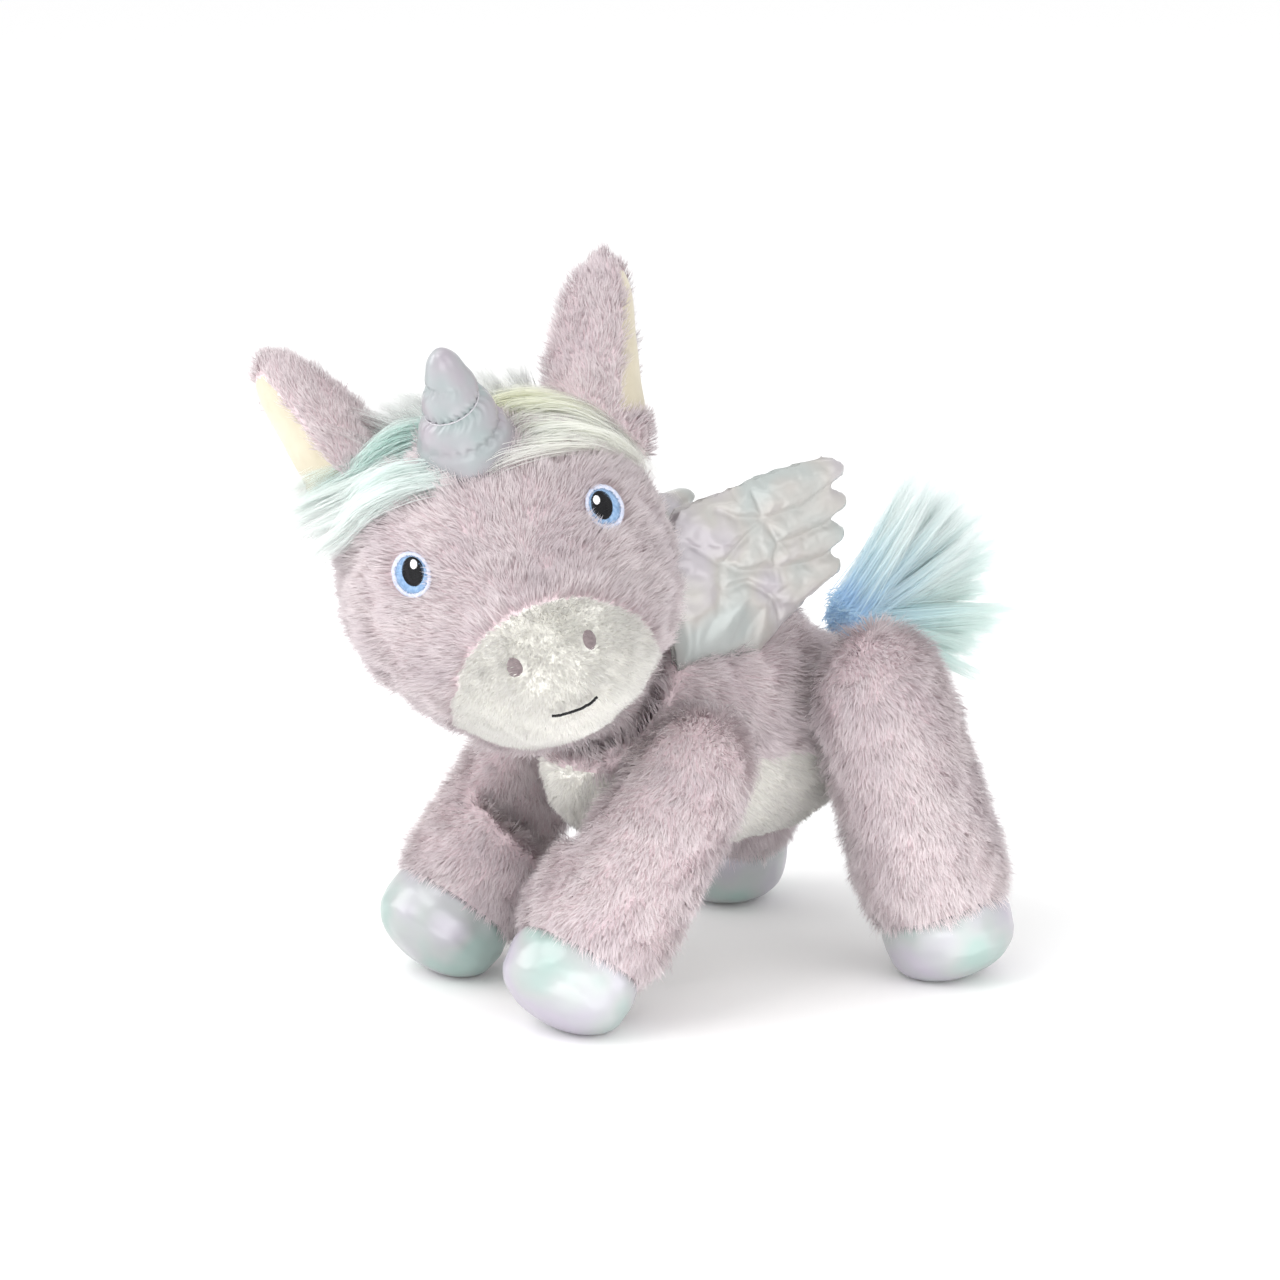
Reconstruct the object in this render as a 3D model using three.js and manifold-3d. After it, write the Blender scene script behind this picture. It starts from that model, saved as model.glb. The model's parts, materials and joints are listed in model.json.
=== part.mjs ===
// A winged plush unicorn, standing on four splayed legs with its head turned to its own left.
// Millimetres, +Z up. The toy faces -Y and its own left is +X. Each fabric cover is a thin
// shell that a seam or an opening leaves open, and the stuffing is a solid inside it.

import * as THREE from 'three';
import { mergeVertices } from 'three/addons/utils/BufferGeometryUtils.js';
import Module from 'manifold-3d';

const wasm = await Module();
wasm.setup();

// Fabric and clearances
const CLOTH = 3;              // pile fabric: backing and the pressed foot of the pile
const GAP = 0.3;              // clearance between neighbouring pieces
const THREAD = 0.9;           // height of satin stitching over the cloth
const FAR = 400;              // longer than the whole toy, for cutting solids

// Torso: a barrel, its belly panel below the side seam
const TORSO_CENTRE = new THREE.Vector3(0, 11, 99);
const TORSO_RADII = new THREE.Vector3(38, 78, 48);
const TORSO_POWER = 2.7;
const SIDE_SEAM_HEIGHT = 97;

// Legs: shoulder or hip point, and the middle of the hoof's rim
const LEG_RADIUS = 31;
const CUFF_RADIUS = 32.5;
const HOOF_RADIUS = 28;
const HOOF_DOME = 17;         // length of the hoof's rounded end
const HOOF_SIDE = 12;         // straight side of the hoof that shows below the cuff
const HOOF_TUCK = 4;          // hoof cloth sewn up inside the cuff
const HOOF_BATTER = 0.5;      // how much narrower the hoof is at the cuff
const HOOF_SEAM = 2;          // how much narrower it is at its sewn edge
const CUFF_EDGE = 3;          // how much the cuff's own edge turns in
const CUFF_TURN = 1;          // height of the turned edge
const CUFF_LENGTH = 8;        // from the hoof's sewn edge to the cuff's full width
const LEG_INSIDE = 38.4;      // the inner side of a leg's top, just outside the torso
const LEGS = {
  front_left: { top: [40, -26, 100], foot: [50, -92, 15.3], bearing: 55 },
  front_right: { top: [-40, -26, 100], foot: [-43, -97, 15.3], bearing: 55 },
  hind_left: { top: [50, 64, 121], foot: [77, 87, 11], bearing: 70 },
  hind_right: { top: [-50, 64, 121], foot: [-66, 66, 11], bearing: 70 },
};

// Head, in its own frame: face towards -Y, crown towards +Z
const HEAD_CENTRE = new THREE.Vector3(9, -87, 176);
const HEAD_TURN = 61;         // degrees to the toy's left
const HEAD_LIFT = 18;         // degrees, chin up
const HEAD_TILT = 18.5;        // degrees, crown towards the toy's right
const HEAD_HALF_WIDTH = 68;
const HEAD_FRONT = 58;
const HEAD_BACK = 62;
const HEAD_UP = 74;
const HEAD_DOWN = 78;
const HEAD_POWER = 2.4;
const CHEEK_TAPER = 0.5;      // how much narrower the head is at the chin
const MUZZLE_REACH = 22;      // how far the muzzle stands out of the face
const MUZZLE_HEIGHT = -43;
const MUZZLE_SPREAD = new THREE.Vector2(54, 44);
const MUZZLE_PATCH = new THREE.Vector2(41.5, 32);
const JAW_SHIFT = 13;         // the soft jaw sits a little towards the toy's left
const FACE_ACROSS = 1.7;      // the sewn face sits a little towards the toy's left
const EYE = { across: 39, up: 17, halfWidth: 7, halfHeight: 8.6 };
const NOSTRIL = { across: 13.8, up: -31.5, halfWidth: 2.7, halfHeight: 3.9 };
const MOUTH = { across: 2.4, up: -32.5, radius: 21.4, sweep: 27, width: 1.6 };

// Neck: a ball of stuffing between the head's seam and the torso
const NECK_DIRECTION = new THREE.Vector3(-0.093, 0.662, -0.742).normalize();
const NECK_REACH = 71;        // head centre to neck centre
const NECK_RADIUS = 22;
const NECK_PLAY = 1;          // clearance of the ball in its two hollows
const NECK_SEAM = 60;         // head centre to the flat seam on the nape
const NECK_SEAM_RADIUS = 40;
const NAPE_RADIUS = 66;       // the head is round about its centre near the seam
const COLLAR_RADIUS = 75.5;   // the torso is hollowed about the head's centre

// Ears: a padded leaf with a smooth lining let into its outer face
const EAR_LENGTH = 74;
const EAR_HALF_WIDTH = 17;
const EAR_THICKNESS = 43;
const EAR_PLAY = 8;           // degrees that the ear's root is cut clear of the head
const EAR_SINK = 20;          // how far the uncut ear runs down into the head
const EAR_CLEARANCE = 1;      // between the ear's root and the head
const EAR_LINING = 6;
const EAR_ROOM = 6;           // long pile kept back from the ear
const EAR_STEPS = 10;         // rings along the ear
const EAR_HEM = 3;            // pile cover left showing round the lining
const EAR_POCKET = [1.03, 2, 1.01];   // the lining's outline, grown into the pocket that it lies in
const EARS = {
  left: { root: [54, 5, 50], lean: 22, spin: 75 },
  right: { root: [-43, 2, 54], lean: -17, spin: -75 },
};

// Horn
const HORN_ROOT = new THREE.Vector3(0, -33, 60);
const HORN_FORWARD = 44;      // degrees forward of the head's own vertical
const HORN_LENGTH = 49;
const HORN_RADIUS = 20;
const HORN_TIP = 4.5;
const HORN_CLOTH = 1.5;
const HORN_CORD = 0.7;
const HORN_CORD_TURNS = 2.6;
const HORN_CORD_START = 9;    // height of the cord's lower end above the root
const HORN_CORD_STOP = 4;     // the cord ends this far below the horn's rounded tip
const HORN_CORD_STEPS = 30;
const HORN_FLARE = 2;         // how much wider the horn is at the foot of its skirt
const HORN_CLEARANCE = 2.6;    // between the horn and the long pile round it
const HORN_SKIRT = 14;        // length of horn below its root point, cut to the head's curve

// Mane: long pile on the crown, and down the back of the head
const MANE_PILE = 10;
const FORELOCK = { centre: [0, -18, 66], radii: [47, 38, 36] };
const CREST = { centre: [0, 44, 34], radii: [19, 34, 46] };

// Wings: two panels of foil cloth with wadding between, outlined by feather tips
const WING_HINGE = new THREE.Vector3(27, 0, 154);
const WING_PANEL = 1.4;
const WING_WADDING = 5.2;
const WADDING_INSET = 1.5;    // the wadding stops short of the panels' edge
const WING_REST = { left: 3, right: -66 };   // degrees outward from upright about the hinge
const WING_ROOT = { front: -15, back: 24 };
const WING_FOOT = -6;
const WING_FRONT_BOW = [[-5, 14], [-6, 36], [-2, 52]];   // leading edge: from the root's front, height
const WING_CREST = [22, 64];  // the top edge's control point
const WING_TOP = 65;
const WING_BACK = 57;
const WING_SHOULDER = 6;      // the top edge ends this far in front of the feathers
const WING_HEEL = [42, 2];    // control point under the lowest feather
const FEATHERS = 4;
const FEATHER_RUN = 56;       // height that the feather tips share
const FEATHER_FAN = 3;        // how much further the middle tips reach
const FEATHER_TIP = [[5, 0.2], [1, 0.62], [-7, 0.94]];   // beyond the reach, share of a step down

// Tail: a sewn stub and a fan of long pile
const TAIL_NARROW = 0.8;      // the fan starts at this share of the stub's width
const TAIL_ROOT = new THREE.Vector3(0, 84, 138);
const TAIL_STUB_RADIUS = 8;
const TAIL_STUB_LENGTH = 7;
const TAIL_RISE = 17;         // degrees above level of the fan's middle
const TAIL_SPREAD = 34;       // half angle of the fan, in degrees
const TAIL_REACH = 72;
const TAIL_HALF_THICKNESS = 11;
const TAIL_ROUND = 2;

const FUR = { color: 0xcbbec4, roughness: 0.95, metalness: 0 };
const WHITE_FUR = { color: 0xe9ebe3, roughness: 0.95, metalness: 0 };
const WADDING = { color: 0xf4f4f2, roughness: 1, metalness: 0 };
const PEARL = { color: 0xdfe6e8, roughness: 0.3, metalness: 0.25 };
const LINING = { color: 0xe4dcc4, roughness: 0.8, metalness: 0 };
const MANE = { color: 0xdce8e0, roughness: 0.8, metalness: 0 };
const TAIL = { color: 0xb4d0e0, roughness: 0.8, metalness: 0 };
const EYE_THREAD = { color: 0x5f86ad, roughness: 0.5, metalness: 0 };
const NOSE_THREAD = { color: 0x9d9293, roughness: 0.6, metalness: 0 };
const BLACK_THREAD = { color: 0x252424, roughness: 0.6, metalness: 0 };

const degrees = THREE.MathUtils.degToRad;

// ---- solids ----

function solid(geometry) {
  const bare = geometry.clone();
  bare.deleteAttribute('normal');
  bare.deleteAttribute('uv');
  const merged = mergeVertices(bare, 1e-4);
  const vertProperties = new Float32Array(merged.attributes.position.array);
  const triVerts = new Uint32Array(merged.index.array);
  return new wasm.Manifold(new wasm.Mesh({ numProp: 3, vertProperties, triVerts }));
}

function surfaceOf(body) {
  const mesh = body.getMesh();
  const geometry = new THREE.BufferGeometry();
  geometry.setAttribute('position', new THREE.BufferAttribute(mesh.vertProperties, 3));
  geometry.setIndex(new THREE.BufferAttribute(mesh.triVerts, 1));
  geometry.computeVertexNormals();
  return geometry;
}

// A piece is a named mesh with a material of its own, made from a geometry or a cut solid.
function piece(name, shape, finish) {
  const geometry = shape.isBufferGeometry ? shape : surfaceOf(shape);
  const mesh = new THREE.Mesh(geometry, new THREE.MeshStandardMaterial(finish));
  mesh.name = name;
  return mesh;
}

function ball(radius, centre, around = 16, along = 10) {
  const geometry = new THREE.SphereGeometry(radius, around, along);
  geometry.translate(centre.x, centre.y, centre.z);
  return solid(geometry);
}

function block(low, high) {
  const size = new THREE.Vector3().subVectors(high, low);
  const middle = new THREE.Vector3().addVectors(low, high).multiplyScalar(0.5);
  const geometry = new THREE.BoxGeometry(size.x, size.y, size.z);
  geometry.translate(middle.x, middle.y, middle.z);
  return solid(geometry);
}

// A rod with an oval section, along Y, for cutting patches out of the front of the head.
function ovalRod(across, up, halfWidth, halfHeight, steps) {
  const geometry = new THREE.CylinderGeometry(1, 1, FAR, steps);
  geometry.scale(halfWidth, 1, halfHeight);
  geometry.translate(across, -FAR / 2, up);
  return solid(geometry);
}

// A rod from one point in one direction.
function rodAlong(direction, start, length, radius, steps = 24) {
  const geometry = new THREE.CylinderGeometry(radius, radius, length, steps);
  geometry.translate(0, start + length / 2, 0);
  const up = new THREE.Vector3(0, 1, 0);
  geometry.applyQuaternion(new THREE.Quaternion().setFromUnitVectors(up, direction));
  return geometry;
}

// A closed rounded body: a unit sphere with poles on Z, and a rule that places each direction.
function roundedBody(around, along, place) {
  const geometry = new THREE.SphereGeometry(1, around, along);
  geometry.rotateX(Math.PI / 2);
  const position = geometry.attributes.position;
  const point = new THREE.Vector3();
  for (let i = 0; i < position.count; i += 1) {
    point.fromBufferAttribute(position, i);
    place(point);
    position.setXYZ(i, point.x, point.y, point.z);
  }
  return solid(geometry);
}

// Moves a direction onto a unit superellipsoid, which is squarer than a sphere.
function square(direction, power) {
  const { x, y, z } = direction;
  const sum = Math.abs(x) ** power + Math.abs(y) ** power + Math.abs(z) ** power;
  return direction.multiplyScalar(sum ** (-1 / power));
}

// ---- head ----

const headFrame = new THREE.Group();
headFrame.position.copy(HEAD_CENTRE);
headFrame.rotation.set(degrees(-HEAD_LIFT), degrees(-HEAD_TILT), degrees(HEAD_TURN), 'ZXY');
headFrame.updateMatrixWorld();

const neckInHead = NECK_DIRECTION.clone().applyQuaternion(headFrame.quaternion.clone().invert());

function placeOnHead(point, grow) {
  square(point, HEAD_POWER);
  point.x *= HEAD_HALF_WIDTH + grow;
  point.y *= (point.y < 0 ? HEAD_FRONT : HEAD_BACK) + grow;
  point.z *= (point.z < 0 ? HEAD_DOWN : HEAD_UP) + grow;
  const drop = Math.max(0, -point.z / HEAD_DOWN);
  point.x *= 1 - CHEEK_TAPER * drop ** 1.5;
  point.x += JAW_SHIFT * drop;
  const across = (point.x - FACE_ACROSS) / MUZZLE_SPREAD.x;
  const up = (point.z - MUZZLE_HEIGHT) / MUZZLE_SPREAD.y;
  const inside = Math.max(0, 1 - across ** 2 - up ** 2);
  const facing = THREE.MathUtils.smoothstep(-point.y / HEAD_FRONT, 0, 0.7);
  point.y -= MUZZLE_REACH * facing * inside ** 1.3;
  const reach = point.length();
  const towardsNeck = point.dot(neckInHead) / reach;
  const tuck = THREE.MathUtils.smoothstep(towardsNeck, 0.25, 0.55);
  const limit = Math.min(reach, NAPE_RADIUS + grow);
  point.multiplyScalar((reach + (limit - reach) * tuck) / reach);
}

function headBody(grow, around = 24, along = 16) {
  return roundedBody(around, along, (point) => placeOnHead(point, grow));
}

// The head's outline with the flat neck seam and the hollow for the neck's stuffing.
function openHead(grow, around, along) {
  const neck = neckInHead.clone().multiplyScalar(NECK_REACH);
  const seam = solid(rodAlong(neckInHead, NECK_SEAM + grow, FAR, NECK_SEAM_RADIUS));
  return headBody(grow, around, along)
    .subtract(seam)
    .subtract(ball(NECK_RADIUS - grow, neck));
}

// Satin stitching: a thin raised patch that follows the head's surface.
function stitched(region) {
  return headBody(GAP + THREAD).intersect(region).subtract(headBody(GAP));
}

function mouthRegion() {
  const low = degrees(270 - MOUTH.sweep);
  const high = degrees(270 + MOUTH.sweep);
  const shape = new THREE.Shape();
  shape.absarc(0, 0, MOUTH.radius + MOUTH.width / 2, low, high, false);
  shape.absarc(0, 0, MOUTH.radius - MOUTH.width / 2, high, low, true);
  const geometry = new THREE.ExtrudeGeometry(shape, {
    depth: FAR, bevelEnabled: false, curveSegments: 8,
  });
  geometry.rotateX(Math.PI / 2);
  geometry.translate(MOUTH.across, 0, MOUTH.up);
  return solid(geometry);
}

function addHead(head) {
  const shell = openHead(0).subtract(openHead(-CLOTH, 16, 12));
  const { x, y } = MUZZLE_PATCH;
  const patch = ovalRod(FACE_ACROSS, MUZZLE_HEIGHT, x, y, 24);
  const hole = ovalRod(FACE_ACROSS, MUZZLE_HEIGHT, x + GAP, y + GAP, 24);
  head.add(piece('head_cover', shell.subtract(hole), FUR));
  head.add(piece('muzzle_panel', shell.intersect(patch), WHITE_FUR));
  head.add(piece('head_stuffing', openHead(-CLOTH - GAP, 16, 12), WADDING));
  for (const [side, sign] of [['left', 1], ['right', -1]]) {
    const eye = ovalRod(
      FACE_ACROSS + sign * EYE.across, EYE.up, EYE.halfWidth, EYE.halfHeight, 16);
    head.add(piece(`eye_${side}`, stitched(eye), EYE_THREAD));
    const nostril = ovalRod(
      FACE_ACROSS + sign * NOSTRIL.across, NOSTRIL.up, NOSTRIL.halfWidth, NOSTRIL.halfHeight, 12);
    head.add(piece(`nostril_${side}`, stitched(nostril), NOSE_THREAD));
  }
  head.add(piece('mouth_stitch', stitched(mouthRegion()), BLACK_THREAD));
}

// ---- ears ----

// An ear in its own frame: root at the origin, tip up +Z, lining towards -Y.
function earBody(grow) {
  const sides = [];
  for (let step = 0; step <= EAR_STEPS; step += 1) {
    const along = step / EAR_STEPS;
    const swell = Math.max(0, 1 - along ** 2.4) ** 0.6;
    sides.push(new THREE.Vector2(
      Math.max(0, swell * EAR_HALF_WIDTH + (along < 1 ? grow : 0)),
      along * EAR_LENGTH + grow));
  }
  sides[0].y = -EAR_SINK - grow;
  const profile = [new THREE.Vector2(0, sides[0].y), ...sides];
  const geometry = new THREE.LatheGeometry(profile, 14);
  geometry.rotateX(Math.PI / 2);
  geometry.scale(1, (EAR_THICKNESS / 2 + grow) / (EAR_HALF_WIDTH + grow), 1);
  return geometry;
}

function earFrame(ear) {
  const frame = new THREE.Group();
  frame.position.set(...ear.root);
  frame.rotation.set(0, degrees(ear.lean), degrees(ear.spin), 'YZX');
  frame.updateMatrix();
  return frame;
}

function inFrame(geometry, frame) {
  return solid(geometry.clone().applyMatrix4(frame.matrix));
}

function addEar(head, side) {
  const frame = earFrame(EARS[side]);
  const back = frame.matrix.clone().invert();
  let body = solid(earBody(0));
  for (const angle of [-EAR_PLAY, 0, EAR_PLAY]) {
    const skull = surfaceOf(headBody(EAR_CLEARANCE));
    skull.translate(-frame.position.x, -frame.position.y, -frame.position.z);
    skull.rotateY(degrees(angle));
    skull.translate(frame.position.x, frame.position.y, frame.position.z);
    body = body.subtract(solid(skull.applyMatrix4(back)));
  }
  const front = new THREE.Vector3(-FAR, -FAR, -FAR);
  const face = -EAR_THICKNESS / 2 + EAR_LINING;
  const slab = block(front, new THREE.Vector3(FAR, face, FAR));
  const pocketSlab = block(front, new THREE.Vector3(FAR, face + GAP, FAR));
  const trimmed = surfaceOf(solid(earBody(-EAR_HEM)));
  const rim = solid(trimmed.clone().scale(1, 2, 1));
  const lining = body.intersect(slab).intersect(rim);
  const pocket = solid(trimmed.clone().scale(...EAR_POCKET)).intersect(pocketSlab);
  frame.add(piece(`ear_cover_${side}`, body.subtract(pocket), FUR));
  frame.add(piece(`ear_lining_${side}`, lining, LINING));
  head.add(frame);
}

// ---- horn ----

function hornBody(grow) {
  const profile = [
    new THREE.Vector2(0, -HORN_SKIRT),
    new THREE.Vector2(HORN_RADIUS + HORN_FLARE + grow, -HORN_SKIRT),
    new THREE.Vector2(HORN_RADIUS + grow, 0),
  ];
  for (let step = 0; step <= 3; step += 1) {
    const angle = (step / 3) * (Math.PI / 2);
    const radius = step === 3 ? 0 : (HORN_TIP + grow) * Math.cos(angle);
    profile.push(new THREE.Vector2(
      radius, HORN_LENGTH - HORN_TIP + (HORN_TIP + grow) * Math.sin(angle)));
  }
  const geometry = new THREE.LatheGeometry(profile, 16);
  geometry.rotateX(Math.PI / 2);
  return geometry;
}

function hornCord() {
  const slope = (HORN_RADIUS - HORN_TIP) / (HORN_LENGTH - HORN_TIP);
  const rise = HORN_LENGTH - HORN_TIP - HORN_CORD_START - HORN_CORD_STOP;
  const points = [];
  for (let step = 0; step <= HORN_CORD_STEPS; step += 1) {
    const along = step / HORN_CORD_STEPS;
    const height = HORN_CORD_START + along * rise;
    const radius = HORN_RADIUS - slope * height + HORN_CORD + 2 * GAP;
    const angle = along * HORN_CORD_TURNS * 2 * Math.PI;
    points.push(new THREE.Vector3(radius * Math.cos(angle), radius * Math.sin(angle), height));
  }
  const section = new THREE.Shape();
  section.absarc(0, 0, HORN_CORD, 0, 2 * Math.PI);
  return new THREE.ExtrudeGeometry(section, {
    extrudePath: new THREE.CatmullRomCurve3(points), steps: 36, curveSegments: 2,
  });
}

function hornFrame() {
  const frame = new THREE.Group();
  frame.position.copy(HORN_ROOT);
  frame.rotation.set(degrees(HORN_FORWARD), 0, 0);
  frame.updateMatrix();
  return frame;
}

function addHorn(head) {
  const frame = hornFrame();
  const back = frame.matrix.clone().invert();
  const skull = solid(surfaceOf(headBody(GAP)).applyMatrix4(back));
  const cover = solid(hornBody(0));
  const inside = solid(hornBody(-HORN_CLOTH));
  const stuffing = solid(hornBody(-HORN_CLOTH - GAP)).subtract(skull);
  frame.add(piece('horn_cover', cover.subtract(inside).subtract(skull), PEARL));
  frame.add(piece('horn_stuffing', stuffing, WADDING));
  frame.add(piece('horn_winding_cord', hornCord(), PEARL));
  head.add(frame);
}

// ---- mane ----

function maneRegion({ centre, radii }) {
  const geometry = new THREE.SphereGeometry(1, 16, 10);
  geometry.scale(...radii);
  geometry.translate(...centre);
  return solid(geometry);
}

function addMane(head) {
  const pile = headBody(MANE_PILE).subtract(headBody(GAP));
  const horn = inFrame(hornBody(HORN_CLEARANCE), hornFrame());
  let forelock = pile.intersect(maneRegion(FORELOCK)).subtract(horn);
  let crest = pile.intersect(maneRegion(CREST)).subtract(maneRegion({
    centre: FORELOCK.centre, radii: FORELOCK.radii.map((radius) => radius + 1),
  }));
  for (const ear of Object.values(EARS)) {
    const keepClear = inFrame(earBody(EAR_ROOM), earFrame(ear));
    forelock = forelock.subtract(keepClear);
    crest = crest.subtract(keepClear);
  }
  head.add(piece('forelock', forelock, MANE));
  head.add(piece('mane_crest', crest, MANE));
}

// ---- torso ----

function torsoBody(grow, around, along) {
  const barrel = roundedBody(around, along, (point) => {
    square(point, TORSO_POWER);
    point.x *= TORSO_RADII.x + grow;
    point.y *= TORSO_RADII.y + grow;
    point.z *= TORSO_RADII.z + grow;
    point.add(TORSO_CENTRE);
  });
  const neck = NECK_DIRECTION.clone().multiplyScalar(NECK_REACH).add(HEAD_CENTRE);
  return barrel
    .subtract(ball(COLLAR_RADIUS - grow, HEAD_CENTRE, 24, 18))
    .subtract(ball(NECK_RADIUS - grow, neck));
}

function addTorso(toy) {
  const shell = torsoBody(0, 20, 14).subtract(torsoBody(-CLOTH, 14, 10));
  const seam = SIDE_SEAM_HEIGHT;
  const above = block(new THREE.Vector3(-FAR, -FAR, seam + GAP), new THREE.Vector3(FAR, FAR, FAR));
  const below = block(new THREE.Vector3(-FAR, -FAR, -FAR), new THREE.Vector3(FAR, FAR, seam));
  toy.add(piece('torso_cover', shell.intersect(above), FUR));
  toy.add(piece('belly_panel', shell.intersect(below), WHITE_FUR));
  toy.add(piece('torso_stuffing', torsoBody(-CLOTH - GAP, 14, 10), WADDING));
  const neck = new THREE.Group();
  neck.position.copy(NECK_DIRECTION).multiplyScalar(NECK_REACH).add(HEAD_CENTRE);
  const filling = new THREE.SphereGeometry(NECK_RADIUS - NECK_PLAY, 16, 10);
  neck.add(piece('neck_stuffing', filling, WADDING));
  toy.add(neck);
}

// ---- legs ----

// A leg's outline about its own axis, from the top of the shoulder down to the hoof's end.
function legProfile(length, grow) {
  const profile = [];
  const domeTop = length - HOOF_DOME / 3;
  for (let step = 0; step <= 4; step += 1) {
    const angle = (step / 4) * (Math.PI / 2);
    const radius = step === 0 ? 0 : (HOOF_RADIUS + grow) * Math.sin(angle);
    profile.push(new THREE.Vector2(radius, -domeTop - (HOOF_DOME + grow) * Math.cos(angle)));
  }
  const cuff = -(domeTop - HOOF_SIDE);
  profile.push(new THREE.Vector2(HOOF_RADIUS - HOOF_BATTER + grow, cuff));
  profile.push(new THREE.Vector2(HOOF_RADIUS - HOOF_SEAM + grow, cuff + HOOF_TUCK));
  profile.push(new THREE.Vector2(CUFF_RADIUS - CUFF_EDGE + grow, cuff + HOOF_TUCK + CUFF_TURN));
  profile.push(new THREE.Vector2(CUFF_RADIUS + grow, cuff + HOOF_TUCK + CUFF_LENGTH));
  for (let step = 0; step <= 4; step += 1) {
    const angle = (step / 4) * (Math.PI / 2);
    const radius = step === 4 ? 0 : (LEG_RADIUS + grow) * Math.cos(angle);
    profile.push(new THREE.Vector2(radius, (LEG_RADIUS + grow) * Math.sin(angle)));
  }
  return profile;
}

function alongLeg(geometry, direction) {
  const down = new THREE.Vector3(0, -1, 0);
  geometry.applyQuaternion(new THREE.Quaternion().setFromUnitVectors(down, direction));
  return solid(geometry);
}

// Everything that is removed from a leg: its inner side beside the torso, and what would
// reach below the floor.
function trimLeg(body, leg, grow) {
  const side = Math.sign(leg.top[0]);
  const inner = new THREE.CylinderGeometry(leg.bearing - grow, leg.bearing - grow, FAR, 40);
  inner.rotateZ(Math.PI / 2);
  inner.translate(side * (LEG_INSIDE - grow - FAR / 2) - leg.top[0], 0, 0);
  const floor = block(
    new THREE.Vector3(-FAR, -FAR, -FAR), new THREE.Vector3(FAR, FAR, -leg.top[2] - grow));
  return body.subtract(solid(inner)).subtract(floor);
}

function addLeg(toy, name) {
  const leg = LEGS[name];
  const top = new THREE.Vector3(...leg.top);
  const direction = new THREE.Vector3(...leg.foot).sub(top);
  const length = direction.length();
  direction.normalize();
  const layer = (grow, around) => {
    const outline = new THREE.LatheGeometry(legProfile(length, grow), around);
    return trimLeg(alongLeg(outline, direction), leg, grow);
  };
  const outside = layer(0, 16);
  const inside = layer(-CLOTH, 12);
  const cuff = length - HOOF_DOME / 3 - HOOF_SIDE - HOOF_TUCK;
  const beyond = (from) => solid(rodAlong(direction, from, FAR, FAR / 4, 16));
  const shell = outside.subtract(inside);
  const group = new THREE.Group();
  group.position.copy(top);
  group.add(piece(`leg_cover_${name}`, shell.subtract(beyond(cuff - GAP)), FUR));
  group.add(piece(`hoof_${name}`, shell.intersect(beyond(cuff)), PEARL));
  group.add(piece(`leg_stuffing_${name}`, layer(-CLOTH - GAP, 12), WADDING));
  toy.add(group);
}

// ---- wings ----

// A wing's outline in its own plane: x towards the tail, y up from the hinge.
function wingOutline(inset) {
  const shape = new THREE.Shape();
  const { front, back } = WING_ROOT;
  const [[lowBow, low], [highBow, high], [topBow, top]] = WING_FRONT_BOW;
  shape.moveTo(front + inset, WING_FOOT + inset);
  shape.bezierCurveTo(
    front + lowBow + inset, low, front + highBow + inset, high, front + topBow + inset, top - inset);
  const [crest, crestHeight] = WING_CREST;
  shape.quadraticCurveTo(crest, crestHeight - inset, WING_BACK - WING_SHOULDER, WING_TOP - inset);
  const step = FEATHER_RUN / FEATHERS;
  const [[bulge, bulgeDown], [tip, tipDown], [notch, notchDown]] = FEATHER_TIP;
  for (let feather = 0; feather < FEATHERS; feather += 1) {
    const start = WING_TOP - feather * step;
    const fan = FEATHER_FAN * Math.sin((Math.PI * (feather + 0.5)) / FEATHERS);
    const reach = WING_BACK + fan - inset;
    shape.quadraticCurveTo(
      reach + bulge, start - step * bulgeDown, reach + tip, start - step * tipDown);
    shape.lineTo(reach + notch, start - step * notchDown);
  }
  const [heel, heelHeight] = WING_HEEL;
  shape.quadraticCurveTo(heel, heelHeight + inset, back - inset, WING_FOOT + inset);
  shape.closePath();
  return shape;
}

function wingLayer(inset, depth, offset) {
  const geometry = new THREE.ExtrudeGeometry(wingOutline(inset), {
    depth, bevelEnabled: false, curveSegments: 5,
  });
  geometry.translate(0, 0, offset);
  geometry.rotateX(Math.PI / 2);
  geometry.rotateZ(Math.PI / 2);
  return geometry;
}

function addWing(toy, side, sign) {
  const wing = new THREE.Group();
  wing.position.set(sign * WING_HINGE.x, WING_HINGE.y, WING_HINGE.z);
  wing.rotation.set(0, degrees(WING_REST[side]), 0);
  const half = WING_WADDING / 2;
  const outer = wingLayer(0, WING_PANEL, sign > 0 ? half + GAP : -half - GAP - WING_PANEL);
  const inner = wingLayer(0, WING_PANEL, sign > 0 ? -half - GAP - WING_PANEL : half + GAP);
  wing.add(piece(`wing_outer_panel_${side}`, outer, PEARL));
  wing.add(piece(`wing_wadding_${side}`, wingLayer(WADDING_INSET, WING_WADDING, -half), WADDING));
  wing.add(piece(`wing_inner_panel_${side}`, inner, PEARL));
  toy.add(wing);
}

// ---- tail ----

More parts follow.
